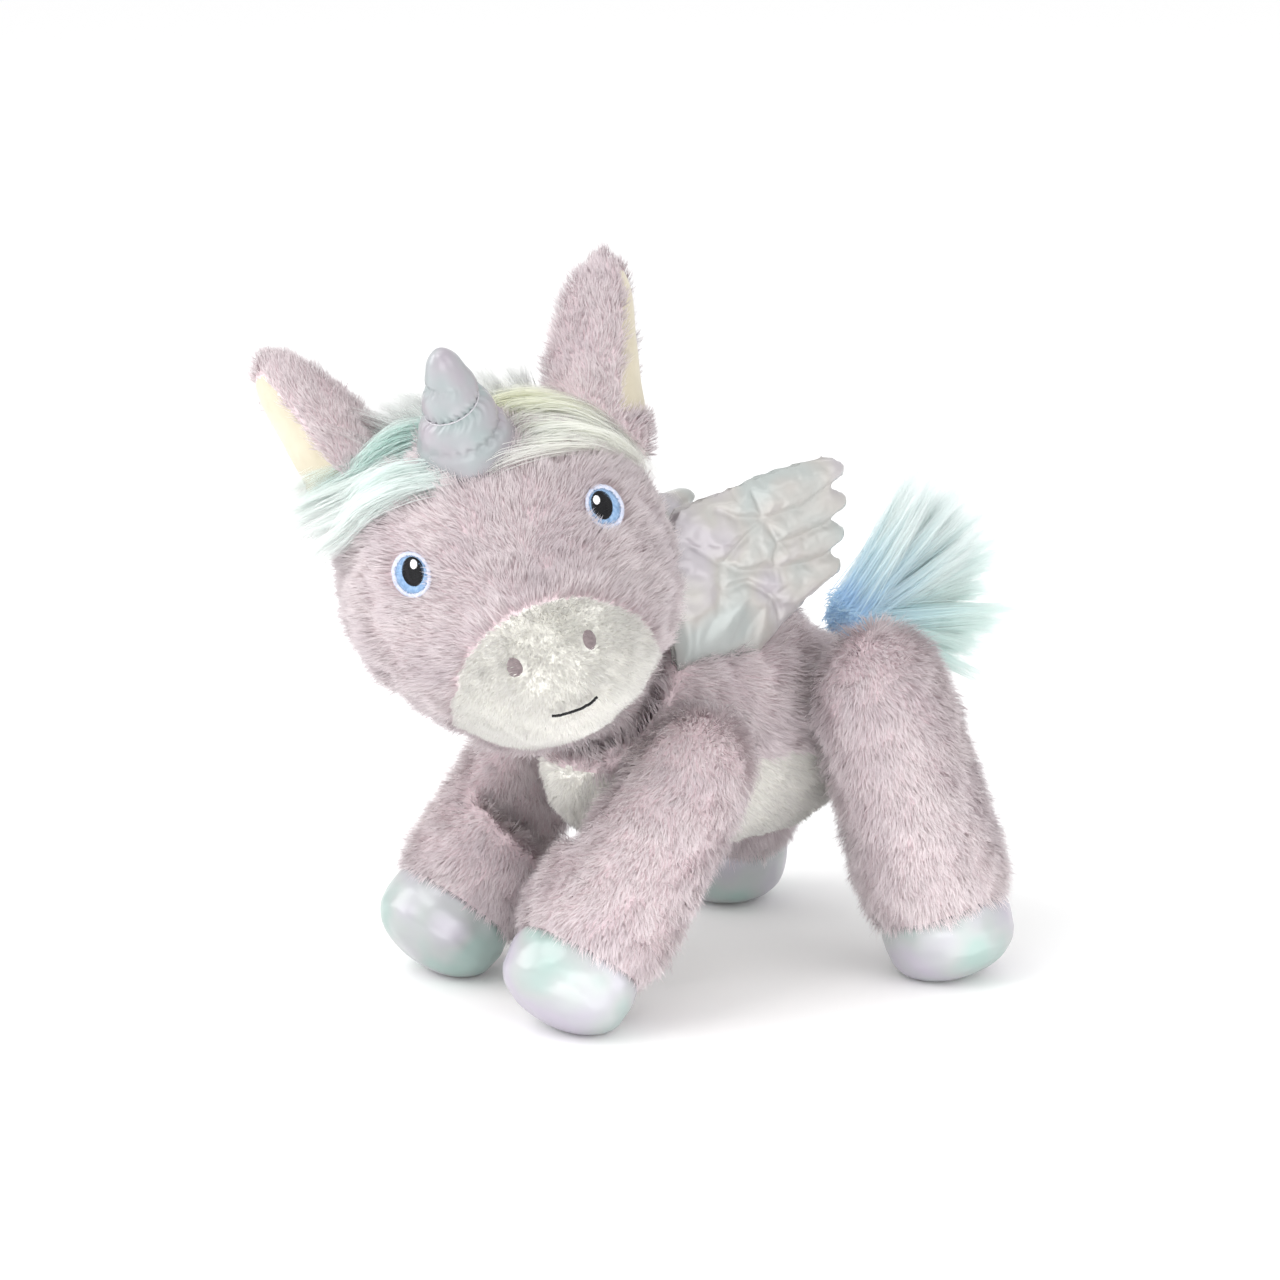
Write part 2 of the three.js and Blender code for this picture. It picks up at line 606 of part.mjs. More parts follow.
function addTail(toy) {
  const tail = new THREE.Group();
  tail.position.copy(TAIL_ROOT);
  tail.rotation.x = degrees(TAIL_RISE);
  const stub = new THREE.CylinderGeometry(
    TAIL_STUB_RADIUS, TAIL_STUB_RADIUS, TAIL_STUB_LENGTH, 16);
  stub.translate(0, TAIL_STUB_LENGTH / 2, 0);
  tail.add(piece('tail_stub', stub, FUR));
  const outline = new THREE.Shape();
  const spread = degrees(TAIL_SPREAD);
  outline.moveTo(0, -TAIL_STUB_RADIUS * TAIL_NARROW);
  outline.absarc(0, 0, TAIL_REACH, -spread, spread, false);
  outline.lineTo(0, TAIL_STUB_RADIUS * TAIL_NARROW);
  outline.closePath();
  const fan = new THREE.ExtrudeGeometry(outline, {
    depth: 2 * (TAIL_HALF_THICKNESS - TAIL_ROUND), bevelThickness: TAIL_ROUND,
    bevelSize: TAIL_ROUND, bevelOffset: -TAIL_ROUND, bevelSegments: 2, curveSegments: 10,
  });
  fan.translate(0, 0, TAIL_ROUND - TAIL_HALF_THICKNESS);
  fan.rotateY(Math.PI / 2);
  fan.rotateX(Math.PI / 2);
  fan.translate(0, TAIL_STUB_LENGTH + GAP, 0);
  tail.add(piece('tail_pile', fan, TAIL));
  toy.add(tail);
}

// ---- assembly ----

const toy = new THREE.Group();
addTorso(toy);
for (const name of Object.keys(LEGS)) {
  addLeg(toy, name);
}
addHead(headFrame);
for (const side of Object.keys(EARS)) {
  addEar(headFrame, side);
}
addHorn(headFrame);
addMane(headFrame);
toy.add(headFrame);
addWing(toy, 'left', 1);
addWing(toy, 'right', -1);
addTail(toy);

// The row's origin is on the floor, under the middle of the toy's box.
const bounds = new THREE.Box3().setFromObject(toy, true);
const middle = bounds.getCenter(new THREE.Vector3());
toy.position.set(-middle.x, -middle.y, -bounds.min.z);

export default toy;
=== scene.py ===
"""Plush winged unicorn: pile fabric, padded pearl foil, long-pile mane and tail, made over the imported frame."""

import json
import math

import bpy
import numpy as np
from mathutils import Matrix, Vector
from mathutils.bvhtree import BVHTree
from mathutils.kdtree import KDTree


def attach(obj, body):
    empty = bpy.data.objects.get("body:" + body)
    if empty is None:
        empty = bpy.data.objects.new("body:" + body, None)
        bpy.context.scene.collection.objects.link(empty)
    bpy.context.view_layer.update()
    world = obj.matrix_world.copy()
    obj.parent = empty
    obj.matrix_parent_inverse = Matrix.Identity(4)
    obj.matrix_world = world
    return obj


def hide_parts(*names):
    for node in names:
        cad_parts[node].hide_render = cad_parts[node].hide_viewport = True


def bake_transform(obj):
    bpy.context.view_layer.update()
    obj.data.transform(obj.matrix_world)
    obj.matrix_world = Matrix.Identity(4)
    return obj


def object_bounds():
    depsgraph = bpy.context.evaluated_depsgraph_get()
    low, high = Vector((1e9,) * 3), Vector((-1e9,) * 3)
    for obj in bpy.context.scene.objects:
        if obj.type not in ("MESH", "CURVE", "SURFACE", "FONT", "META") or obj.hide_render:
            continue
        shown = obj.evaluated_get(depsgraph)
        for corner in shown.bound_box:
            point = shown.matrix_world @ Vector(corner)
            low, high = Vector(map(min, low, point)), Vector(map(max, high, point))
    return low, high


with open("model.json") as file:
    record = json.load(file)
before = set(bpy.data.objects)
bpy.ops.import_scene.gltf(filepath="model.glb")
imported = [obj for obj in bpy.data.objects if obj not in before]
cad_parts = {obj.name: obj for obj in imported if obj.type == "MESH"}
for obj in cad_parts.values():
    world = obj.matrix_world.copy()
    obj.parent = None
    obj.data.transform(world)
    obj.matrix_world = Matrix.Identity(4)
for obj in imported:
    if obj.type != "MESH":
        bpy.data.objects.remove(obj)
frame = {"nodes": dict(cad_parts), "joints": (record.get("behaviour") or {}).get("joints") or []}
cad_box = [list(corner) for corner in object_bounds()]

MM = 0.001
JOINTS = {joint["name"]: joint for joint in frame["joints"]}
LEGS = ("front_left", "front_right", "hind_left", "hind_right")

# The wings' hinge fixes where the toy's own centre line lies in the frame.
WING_HINGE = np.array((27.0, 0.0, 154.0)) * MM
TOY = np.array(JOINTS["wing_flap_left"]["pos_m"]) - WING_HINGE

# The head's own frame: face towards -Y, crown towards +Z
HEAD_CENTRE = np.array((9.0, -87.0, 176.0)) * MM + TOY
HEAD_TURN, HEAD_LIFT, HEAD_TILT = 61.0, 18.0, 18.5


def turn(axis, degrees):
    return np.array(Matrix.Rotation(math.radians(degrees), 3, axis))


HEAD_TURNS = turn("Z", HEAD_TURN) @ turn("X", -HEAD_LIFT) @ turn("Y", -HEAD_TILT)


def head_point(points):
    """Head frame, in millimetres, to the row frame."""
    return np.asarray(points, float) * MM @ HEAD_TURNS.T + HEAD_CENTRE


def head_direction(vectors):
    return np.asarray(vectors, float) @ HEAD_TURNS.T


def to_head(points):
    """Row frame to the head frame, in millimetres."""
    return (np.asarray(points) - HEAD_CENTRE) @ HEAD_TURNS / MM


def unit(vectors):
    return vectors / np.maximum(np.linalg.norm(vectors, axis=-1, keepdims=True), 1e-12)


def smooth(value, low, high):
    t = np.clip((value - low) / (high - low), 0, 1)
    return t * t * (3 - 2 * t)


class Waves:
    """Smooth vector noise: a seeded sum of sine waves, about 1 at its largest."""

    def __init__(self, seed, wavelength, count=28):
        rng = np.random.default_rng(seed)
        self.k = unit(rng.normal(size=(count, 3))) * (2 * np.pi / wavelength) * rng.uniform(0.6, 1.6, (count, 1))
        self.phase = rng.uniform(0, 2 * np.pi, count)
        self.weight = rng.normal(size=(count, 3)) / math.sqrt(count)

    def __call__(self, points):
        return np.sin(points @ self.k.T + self.phase) @ self.weight * 1.4


# ---- meshes ----

def arrays(obj):
    """Vertices and triangles of an object's mesh."""
    mesh = obj.data
    mesh.calc_loop_triangles()
    verts = np.zeros(len(mesh.vertices) * 3)
    mesh.vertices.foreach_get("co", verts)
    tris = np.zeros(len(mesh.loop_triangles) * 3, np.int64)
    mesh.loop_triangles.foreach_get("vertices", tris)
    return verts.reshape(-1, 3), tris.reshape(-1, 3)


def add(name, verts, faces, smooth_shade=True):
    mesh = bpy.data.meshes.new(name)
    mesh.from_pydata(np.asarray(verts).tolist(), [], [list(map(int, f)) for f in faces])
    mesh.update()
    obj = bpy.data.objects.new(name, mesh)
    bpy.context.scene.collection.objects.link(obj)
    if smooth_shade:
        mesh.polygons.foreach_set("use_smooth", [True] * len(mesh.polygons))
    return obj


def joined(name, nodes):
    verts, faces, base = [], [], 0
    for node in nodes:
        v, f = arrays(frame["nodes"][node])
        verts.append(v)
        faces.append(f + base)
        base += len(v)
    return add(name, np.concatenate(verts), np.concatenate(faces))


def applied(obj):
    """Applies an object's modifiers to its mesh."""
    graph = bpy.context.evaluated_depsgraph_get()
    graph.update()
    mesh = bpy.data.meshes.new_from_object(obj.evaluated_get(graph))
    obj.modifiers.clear()
    obj.data = mesh
    return obj


def remeshed(obj, voxel, smoothing=4):
    remesh = obj.modifiers.new("remesh", "REMESH")
    remesh.mode = "VOXEL"
    remesh.voxel_size = voxel
    applied(obj)
    if smoothing:
        relax = obj.modifiers.new("relax", "SMOOTH")
        relax.factor = 0.5
        relax.iterations = smoothing
        applied(obj)
    obj.data.polygons.foreach_set("use_smooth", [True] * len(obj.data.polygons))
    return obj


def set_verts(obj, verts):
    obj.data.vertices.foreach_set("co", np.asarray(verts, float).ravel())
    obj.data.update()


def puffed(obj, cap, pressure=4.0, grow=0.0, pinned=None, frames=20):
    """Inflates a closed cloth body by simulation, and lets no point move further than cap."""
    before, _ = arrays(obj)
    cloth = obj.modifiers.new("cloth", "CLOTH")
    cloth.settings.quality = 5
    cloth.settings.use_pressure = True
    cloth.settings.uniform_pressure_force = pressure
    cloth.settings.shrink_min = -grow
    cloth.settings.effector_weights.gravity = 0
    cloth.settings.tension_stiffness = 12
    cloth.settings.bending_stiffness = 0.4
    if pinned is not None:
        group = obj.vertex_groups.new(name="pin")
        group.add([int(i) for i in np.flatnonzero(pinned)], 1.0, "REPLACE")
        cloth.settings.vertex_group_mass = "pin"
    scene = bpy.context.scene
    for step in range(1, frames + 1):
        scene.frame_set(step)
    applied(obj)
    after, _ = arrays(obj)
    scene.frame_set(1)
    move = after - before
    far = np.linalg.norm(move, axis=1, keepdims=True)
    set_verts(obj, before + move * np.minimum(1, cap / np.maximum(far, 1e-12)))
    obj.vertex_groups.clear()
    obj.data.polygons.foreach_set("use_smooth", [True] * len(obj.data.polygons))
    return obj


def subdivided(obj, levels=1):
    sub = obj.modifiers.new("sub", "SUBSURF")
    sub.levels = sub.render_levels = levels
    return applied(obj)


def lathe(name, profile, around, place):
    """A closed body turned about an axis. profile is rows of radius and height, from one end to the other."""
    rows = len(profile)
    verts, faces = [], []
    for radius, height in profile:
        for step in range(around):
            angle = 2 * math.pi * step / around
            verts.append((radius * math.cos(angle), radius * math.sin(angle), height))
    for row in range(rows - 1):
        for step in range(around):
            after = (step + 1) % around
            faces.append((row * around + step, row * around + after, (row + 1) * around + after, (row + 1) * around + step))
    faces.append(list(range(around))[::-1])
    faces.append([(rows - 1) * around + step for step in range(around)])
    return add(name, place(np.array(verts)), faces)


def tree_of(nodes):
    verts, faces, base = [], [], 0
    for node in nodes:
        v, f = arrays(frame["nodes"][node])
        verts.append(v)
        faces.append(f + base)
        base += len(v)
    return BVHTree.FromPolygons(np.concatenate(verts).tolist(), np.concatenate(faces).tolist())


# ---- materials ----

class Nodes:
    """A small helper for writing a node material."""

    def __init__(self, name):
        self.material = bpy.data.materials.new(name)
        self.material.use_nodes = True
        self.tree = self.material.node_tree
        self.shader = self.tree.nodes["Principled BSDF"]

    def add(self, kind, **values):
        node = self.tree.nodes.new(kind)
        for key, value in values.items():
            if key in node.inputs:
                node.inputs[key].default_value = value
            else:
                setattr(node, key, value)
        return node

    def link(self, source, target):
        self.tree.links.new(source, target)

    def ramp(self, source, stops):
        node = self.tree.nodes.new("ShaderNodeValToRGB")
        points = node.color_ramp.elements
        while len(points) < len(stops):
            points.new(0.5)
        for point, (place, colour) in zip(points, stops):
            point.position = place
            point.color = (*colour, 1)
        self.link(source, node.inputs["Fac"])
        return node.outputs["Color"]

    def noise(self, scale, detail=3.0):
        place = self.tree.nodes.new("ShaderNodeTexCoord")
        node = self.add("ShaderNodeTexNoise", Scale=scale, Detail=detail)
        self.link(place.outputs["Object"], node.inputs["Vector"])
        return node.outputs["Fac"]

    def attribute(self, name):
        return self.add("ShaderNodeAttribute", attribute_name=name).outputs["Fac"]

    def mix(self, factor, first, second, blend="MIX"):
        node = self.tree.nodes.new("ShaderNodeMix")
        node.data_type = "RGBA"
        node.blend_type = blend
        for socket, value in (("Factor", factor), ("A", first), ("B", second)):
            target = [s for s in node.inputs if s.name == socket and s.enabled][0]
            if isinstance(value, bpy.types.NodeSocket):
                self.link(value, target)
            elif isinstance(value, (int, float)):
                target.default_value = value
            else:
                target.default_value = (*value, 1)
        return [s for s in node.outputs if s.enabled][0]

    def glow(self, colour, share):
        """Fine fibres let some of the light behind them through."""
        through = self.tree.nodes.new("ShaderNodeBsdfTranslucent")
        self.link(colour, through.inputs["Color"])
        both = self.tree.nodes.new("ShaderNodeMixShader")
        both.inputs["Fac"].default_value = share
        self.link(self.shader.outputs["BSDF"], both.inputs[1])
        self.link(through.outputs["BSDF"], both.inputs[2])
        self.link(both.outputs["Shader"], self.tree.nodes["Material Output"].inputs["Surface"])

    def bump(self, height, strength, distance):
        node = self.add("ShaderNodeBump", Strength=strength, Distance=distance)
        self.link(height, node.inputs["Height"])
        self.link(node.outputs["Normal"], self.shader.inputs["Normal"])


def pile_material(name, root, body, tip, patch=0.10, sheen=0.25, glow=0.45):
    """Pile: darker and cooler at the root and lighter towards the tip, painted shade deep in the pile, with a tint for
    each hair and soft patches over the fabric.
    """
    nodes = Nodes(name)
    # the ramp along each hair paints shade: dark at the root, lighter towards the tip
    along = nodes.ramp(nodes.attribute("along"), [(0.0, root), (0.45, body), (1.0, tip)])
    tint = nodes.ramp(nodes.attribute("tint"), [(0.0, (0.86, 0.84, 0.86)), (0.5, (1, 1, 1)), (1.0, (1.0, 0.99, 1.0))])
    colour = nodes.mix(1.0, along, tint, "MULTIPLY")
    patches = nodes.ramp(nodes.noise(38.0), [(0.35, (1 - patch, 1 - patch * 1.15, 1 - patch)), (0.6, (1, 1, 1))])
    colour = nodes.mix(1.0, colour, patches, "MULTIPLY")
    nodes.link(colour, nodes.shader.inputs["Base Color"])
    nodes.glow(colour, glow)
    nodes.shader.inputs["Roughness"].default_value = 0.85
    nodes.shader.inputs["Specular IOR Level"].default_value = 0.15
    nodes.shader.inputs["Sheen Weight"].default_value = sheen
    nodes.shader.inputs["Sheen Roughness"].default_value = 0.5
    return nodes.material


def backing_material(name, dark, light):
    """Knitted backing under the pile, coloured darker than the pile: painted shade in the gaps between the hairs."""
    nodes = Nodes(name)
    nodes.link(nodes.ramp(nodes.noise(900.0, 2.0), [(0.3, dark), (0.7, light)]), nodes.shader.inputs["Base Color"])
    nodes.bump(nodes.noise(1400.0, 2.0), 0.5, 0.0004)
    nodes.shader.inputs["Roughness"].default_value = 0.95
    nodes.shader.inputs["Sheen Weight"].default_value = 0.3
    return nodes.material


def foil_material(name, stops, scale=30.0, crinkle=0.25):
    """Pearl foil cloth: a painted pearl lustre, mint, lilac and silver drifting through the base colour, over a fine
    woven crinkle.
    """
    nodes = Nodes(name)
    # this paints the foil's pearly reflections into its base colour
    painted_lustre = nodes.ramp(nodes.noise(scale, 2.0), stops)
    nodes.link(painted_lustre, nodes.shader.inputs["Base Color"])
    fine = nodes.noise(150.0, 3.0)
    if crinkle:
        nodes.bump(fine, crinkle, 0.0006)
    shine = nodes.ramp(fine, [(0.3, (0.30,) * 3), (0.7, (0.38,) * 3)])
    nodes.link(shine, nodes.shader.inputs["Roughness"])
    nodes.shader.inputs["Metallic"].default_value = 0.12
    nodes.shader.inputs["Coat Weight"].default_value = 0.4
    nodes.shader.inputs["Coat Roughness"].default_value = 0.18
    return nodes.material


def thread_material(name, dark, light, sheen=0.2):
    nodes = Nodes(name)
    nodes.link(nodes.ramp(nodes.noise(700.0, 2.0), [(0.3, dark), (0.7, light)]), nodes.shader.inputs["Base Color"])
    nodes.shader.inputs["Roughness"].default_value = 0.42
    nodes.shader.inputs["Specular IOR Level"].default_value = 0.25
    nodes.shader.inputs["Sheen Weight"].default_value = sheen
    nodes.bump(nodes.noise(2600.0, 2.0), 0.35, 0.0002)
    return nodes.material


def lining_material(name, dark, light):
    nodes = Nodes(name)
    nodes.link(nodes.ramp(nodes.noise(60.0, 3.0), [(0.3, dark), (0.7, light)]), nodes.shader.inputs["Base Color"])
    nodes.bump(nodes.noise(2200.0, 3.0), 0.4, 0.0003)
    nodes.shader.inputs["Roughness"].default_value = 0.8
    nodes.shader.inputs["Sheen Weight"].default_value = 0.35
    return nodes.material


# the root colours are painted shade deep in the pile, between the hairs
LILAC_ROOT_SHADE, LILAC, LILAC_TIP = (0.76, 0.66, 0.67), (0.88, 0.81, 0.815), (0.93, 0.88, 0.885)
WHITE_ROOT_SHADE, WHITE, WHITE_TIP = (0.93, 0.92, 0.87), (0.97, 0.97, 0.93), (0.99, 0.99, 0.96)
LILAC_PILE = pile_material("lilac_pile", LILAC_ROOT_SHADE, LILAC, LILAC_TIP)
WHITE_PILE = pile_material("white_pile", WHITE_ROOT_SHADE, WHITE, WHITE_TIP, patch=0.03, glow=0.6)
# the backing colours are darker than the pile above them, painted shade where the pile parts
LILAC_SHADED_BACKING = backing_material("lilac_shaded_backing", (0.76, 0.63, 0.66), (0.84, 0.71, 0.74))
WHITE_SHADED_BACKING = backing_material("white_shaded_backing", (0.88, 0.87, 0.82), (0.94, 0.93, 0.88))
# the mint, lilac and silver stops are painted pearl reflections
HOOF_FOIL = foil_material(
    "hoof_foil", [(0.36, (0.29, 0.385, 0.36)), (0.47, (0.365, 0.385, 0.385)), (0.6, (0.385, 0.355, 0.42))], 26.0, 0.0)
HORN_FOIL = foil_material(
    "horn_foil", [(0.34, (0.29, 0.345, 0.345)), (0.48, (0.335, 0.325, 0.35)), (0.62, (0.345, 0.30, 0.35))], 34.0, 0.06)
WING_FOIL = foil_material(
    "wing_foil", [(0.34, (0.37, 0.40, 0.39)), (0.5, (0.40, 0.385, 0.365)), (0.64, (0.40, 0.375, 0.40))], 30.0, 0.10)
EAR_LINING = lining_material("ear_lining", (0.52, 0.47, 0.36), (0.61, 0.555, 0.435))
NOSE_THREAD = thread_material("nose_thread", (0.17, 0.135, 0.14), (0.24, 0.195, 0.20))
BLACK_THREAD = thread_material("black_thread", (0.003, 0.003, 0.004), (0.008, 0.008, 0.010), 0.0)
BLUE_THREAD = thread_material("blue_thread", (0.17, 0.30, 0.50), (0.33, 0.48, 0.68))
PALE_THREAD = thread_material("pale_thread", (0.50, 0.55, 0.70), (0.70, 0.71, 0.80))
CORD = thread_material("pearl_cord", (0.46, 0.45, 0.48), (0.60, 0.58, 0.61))
WHITE_THREAD = thread_material("white_thread", (0.90, 0.90, 0.92), (0.97, 0.97, 0.98))


def long_pile_material(name):
    """Dyed long pile: the colour of each hair is carried by the hair."""
    nodes = Nodes(name)
    dye = nodes.add("ShaderNodeAttribute", attribute_name="dye").outputs["Color"]
    tint = nodes.ramp(nodes.attribute("tint"), [(0.0, (0.97, 0.97, 0.975)), (0.6, (1, 1, 1)), (1.0, (1, 1, 1))])
    colour = nodes.mix(1.0, dye, tint, "MULTIPLY")
    nodes.link(colour, nodes.shader.inputs["Base Color"])
    nodes.glow(colour, 0.6)
    nodes.shader.inputs["Roughness"].default_value = 0.6
    nodes.shader.inputs["Specular IOR Level"].default_value = 0.25
    nodes.shader.inputs["Sheen Weight"].default_value = 0.2
    return nodes.material


LONG_PILE = long_pile_material("long_pile")


# ---- hair ----

def hairs(name, lines, widths, shade, material, tint, dye=None):
    """Tapered ribbons along many lines at once. lines is hairs x points x 3, shade a normal for each hair."""
    count, points, _ = lines.shape
    along = unit(np.gradient(lines, axis=1))
    across = unit(np.cross(along, shade[:, None, :]))
    taper = (1 - np.linspace(0, 1, points)[:-1] ** 2.2)[None, :, None] * widths[:, None, None] / 2
    body = lines[:, :-1]
    left = body - across[:, :-1] * taper
    right = body + across[:, :-1] * taper
    verts = np.concatenate([np.stack([left, right], 2).reshape(count, -1, 3), lines[:, -1:]], 1)
    per = verts.shape[1]
    base = (np.arange(count) * per)[:, None]
    quads = [base + np.array((2 * i, 2 * i + 1, 2 * i + 3, 2 * i + 2)) for i in range(points - 2)]
    last = base + np.array((per - 3, per - 2, per - 1))
    quads = np.concatenate(quads) if quads else np.zeros((0, 4), int)
    mesh = bpy.data.meshes.new(name)
    mesh.vertices.add(count * per)
    mesh.vertices.foreach_set("co", verts.reshape(-1))
    loops = np.concatenate([quads.ravel(), last.ravel()])
    mesh.loops.add(len(loops))
    mesh.loops.foreach_set("vertex_index", loops.astype(np.int32))
    starts = np.concatenate([np.arange(len(quads)) * 4, len(quads) * 4 + np.arange(len(last)) * 3])
    mesh.polygons.add(len(starts))
    mesh.polygons.foreach_set("loop_start", starts.astype(np.int32))
    mesh.polygons.foreach_set("use_smooth", [True] * len(starts))
    mesh.update(calc_edges=True)
    share = np.concatenate([np.repeat(np.linspace(0, 1, points)[:-1], 2), [1.0]])
    put(mesh, "along", np.tile(share, count))
    put(mesh, "tint", np.repeat(tint, per))
    if dye is not None:
        spread = np.concatenate([np.repeat(dye[:, :-1], 2, axis=1), dye[:, -1:]], 1).reshape(-1, 3)
        layer = mesh.attributes.new("dye", "FLOAT_COLOR", "POINT")
        layer.data.foreach_set("color", np.concatenate([spread, np.ones((len(spread), 1))], 1).ravel())
    lay_out(mesh, count, per, share, loops)
    mesh.normals_split_custom_set_from_vertices(unit(np.repeat(shade, per, axis=0)).tolist())
    obj = bpy.data.objects.new(name, mesh)
    bpy.context.scene.collection.objects.link(obj)
    mesh.materials.append(material)
    return obj


def put(mesh, name, values):
    mesh.attributes.new(name, "FLOAT", "POINT").data.foreach_set("value", np.asarray(values, np.float32))


def lay_out(mesh, count, per, share, loops):
    """Each hair has a thin cell of its own in the flat map."""
    columns = int(math.ceil(math.sqrt(count * 4)))
    rows = int(math.ceil(count / columns))
    cell = np.arange(count)
    side = np.concatenate([np.tile((0.2, 0.8), (per - 1) // 2), [0.5]])
    u = ((cell % columns)[:, None] + side[None]) / columns
    v = ((cell // columns)[:, None] + 0.1 + 0.8 * share[None]) / rows
    flat = np.stack([u, v], -1).reshape(-1, 2)[loops]
    mesh.uv_layers.new(name="OFBake").data.foreach_set("uv", flat.astype(np.float32).ravel())


def scattered(verts, tris, density, rng, keep=None):
    """Seeded points over a surface: place, normal and triangle. density is hairs per square millimetre."""
    a, b, c = (verts[tris[:, i]] for i in range(3))
    cross = np.cross(b - a, c - a)
    area = np.linalg.norm(cross, axis=1) / 2
    normal = np.zeros_like(verts)
    for i in range(3):
        np.add.at(normal, tris[:, i], cross)
    normal = unit(normal)
    weight = area if keep is None else area * keep
    total = int(weight.sum() / MM ** 2 * density)
    pick = rng.choice(len(tris), total, p=weight / weight.sum())
    r1, r2 = np.sqrt(rng.random(total)), rng.random(total)
    w = np.stack([1 - r1, r1 * (1 - r2), r1 * r2], 1)
    place = sum(w[:, i, None] * verts[tris[pick, i]] for i in range(3))
    facing = unit(sum(w[:, i, None] * normal[tris[pick, i]] for i in range(3)))
    return place, facing, pick


def tufted(place, tips, spacing, pull, rng):
    """Draws the hairs' tips together into tufts."""
    heads = rng.choice(len(place), max(1, int(len(place) / spacing)), replace=False)
    tree = KDTree(len(heads))
    for i, point in enumerate(place[heads]):
        tree.insert(point, i)
    tree.balance()
    nearest = np.array([tree.find(point)[1] for point in place])
    return tips + (tips[heads][nearest] - tips) * pull[:, None]


def pile(name, surface, where, comb, length, density, seed, material=None, width=0.36, lean=1.0, rough=0.5, pull=0.15):
    """Pile on part of a surface. where(points) says which places carry it, comb(points) which way it lies."""
    rng = np.random.default_rng(seed)
    verts, tris = surface
    centres = verts[tris].mean(1)
    place, normal, _ = scattered(verts, tris, density, rng, where(centres).astype(float))
    swirl = Waves(seed, 24 * MM)(place) + 0.55 * Waves(seed + 1, 8 * MM)(place)
    swirl /= np.maximum(1.0, np.linalg.norm(swirl, axis=1, keepdims=True))
    flow = comb(place) + swirl * rough
    flow = unit(flow - normal * (flow * normal).sum(1, keepdims=True))
    reach = length * MM * rng.uniform(0.7, 1.1, len(place))
    reach *= 1 + 0.16 * Waves(seed + 2, 14 * MM)(place)[:, 0]
    slant = lean * rng.uniform(0.6, 1.3, (len(place), 1))
    direction = unit(normal + flow * slant + rng.normal(size=place.shape) * 0.22)
    tips = place + direction * reach[:, None]
    tips = tufted(place, tips, 16, rng.uniform(0.1, 1.0, len(place)) * pull, rng)
    root = place - normal * 0.4 * MM
    middle = (root + tips) / 2 + normal * reach[:, None] * 0.16
    lines = np.stack([root, middle, tips], 1)
    shade = unit(normal + 0.45 * unit(tips - root) + rng.normal(size=place.shape) * 0.12)
    widths = width * MM * rng.uniform(0.7, 1.25, len(place))
    return hairs(name, lines, widths, shade, material or LILAC_PILE, rng.random(len(place)))


# ---- skins: the stuffed bodies under the pile ----

def skin(name, node, voxel, cap, material):
    """A stuffed body: the node's own shape, remeshed, inflated and relaxed."""
    obj = joined(name, [node])
    remeshed(obj, voxel, 5)
    puffed(obj, cap)
    subdivided(obj)
    obj.data.materials.clear()
    obj.data.materials.append(material)
    return obj


def near(nodes, others, limit=0.008):
    """Says which points lie under these nodes, rather than under the others or under nothing."""
    mine = tree_of(nodes)
    theirs = tree_of(others) if others else None

    def where(points):
        out = np.zeros(len(points), bool)
        for i, point in enumerate(points):
            first = mine.find_nearest(Vector(point))[3]
            second = theirs.find_nearest(Vector(point))[3] if theirs else 1.0
            out[i] = first < limit and first < second
        return out
    return where


def two_tone(obj, where):
    """White backing under the white panel of a body."""
    obj.data.materials.append(WHITE_SHADED_BACKING)
    centres = np.array([polygon.center for polygon in obj.data.polygons])
    obj.data.polygons.foreach_set("material_index", where(centres).astype(np.int32))
    obj.data.update()


def finish_piece(obj, nodes=()):
    if nodes:
        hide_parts(*nodes)
    return obj


# Torso
torso = skin("torso_body", "torso_stuffing", 4.5 * MM, 3 * MM, LILAC_SHADED_BACKING)
finish_piece(torso, ("torso_stuffing", "torso_cover"))

torso_surface = arrays(torso)
upper = near(["torso_cover"], ["belly_panel"])
lower = near(["belly_panel"], ["torso_cover"])
two_tone(torso, lower)


def comb_body(points):
    """Back and down, but inwards round the collar, so that the pile closes on the head."""
    inwards = HEAD_CENTRE - points
    close = 1 - smooth(np.linalg.norm(inwards, axis=1, keepdims=True), 78 * MM, 90 * MM)
    return np.array((0.0, 0.75, -0.55)) * (1 - close) + unit(inwards) * close * 1.3


torso_pile = pile("torso_pile", torso_surface, upper, comb_body, 9.0, 1.9, 11, rough=0.4)
belly_pile = pile("belly_pile", torso_surface, lower, comb_body, 4.0, 2.6, 12, WHITE_PILE, 0.38, 0.9, 0.3, 0.12)
finish_piece(torso_pile)
finish_piece(belly_pile, ("belly_panel",))
for piece in (torso, torso_pile, belly_pile):
    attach(piece, "root")

neck = skin("neck_body", "neck_stuffing", 4.5 * MM, 1 * MM, LILAC_SHADED_BACKING)
finish_piece(neck, ("neck_stuffing",))


def comb_neck(points):
    """Down and back, off the head."""
    return np.zeros(points.shape) + (0.0, 0.6, -0.6)


neck_pile = pile("neck_pile", arrays(neck), lambda points: np.ones(len(points), bool), comb_neck, 7.0, 2.0, 13)
finish_piece(neck_pile)
for piece in (neck, neck_pile):
    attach(piece, "neck")


# Legs and hooves
FEET = {
    "front_left": (50, -92, 15.3), "front_right": (-43, -97, 15.3),
    "hind_left": (77, 87, 11), "hind_right": (-66, 66, 11),
}
HOOF_RADIUS, HOOF_DOME, HOOF_SIDE = 28.0, 17.0, 12.0


def leg_axis(leg):
    top = np.array(JOINTS["leg_swing_" + leg]["pos_m"])
    foot = np.array(FEET[leg]) * MM + TOY
    return top, foot, unit(foot - top), np.linalg.norm(foot - top) / MM


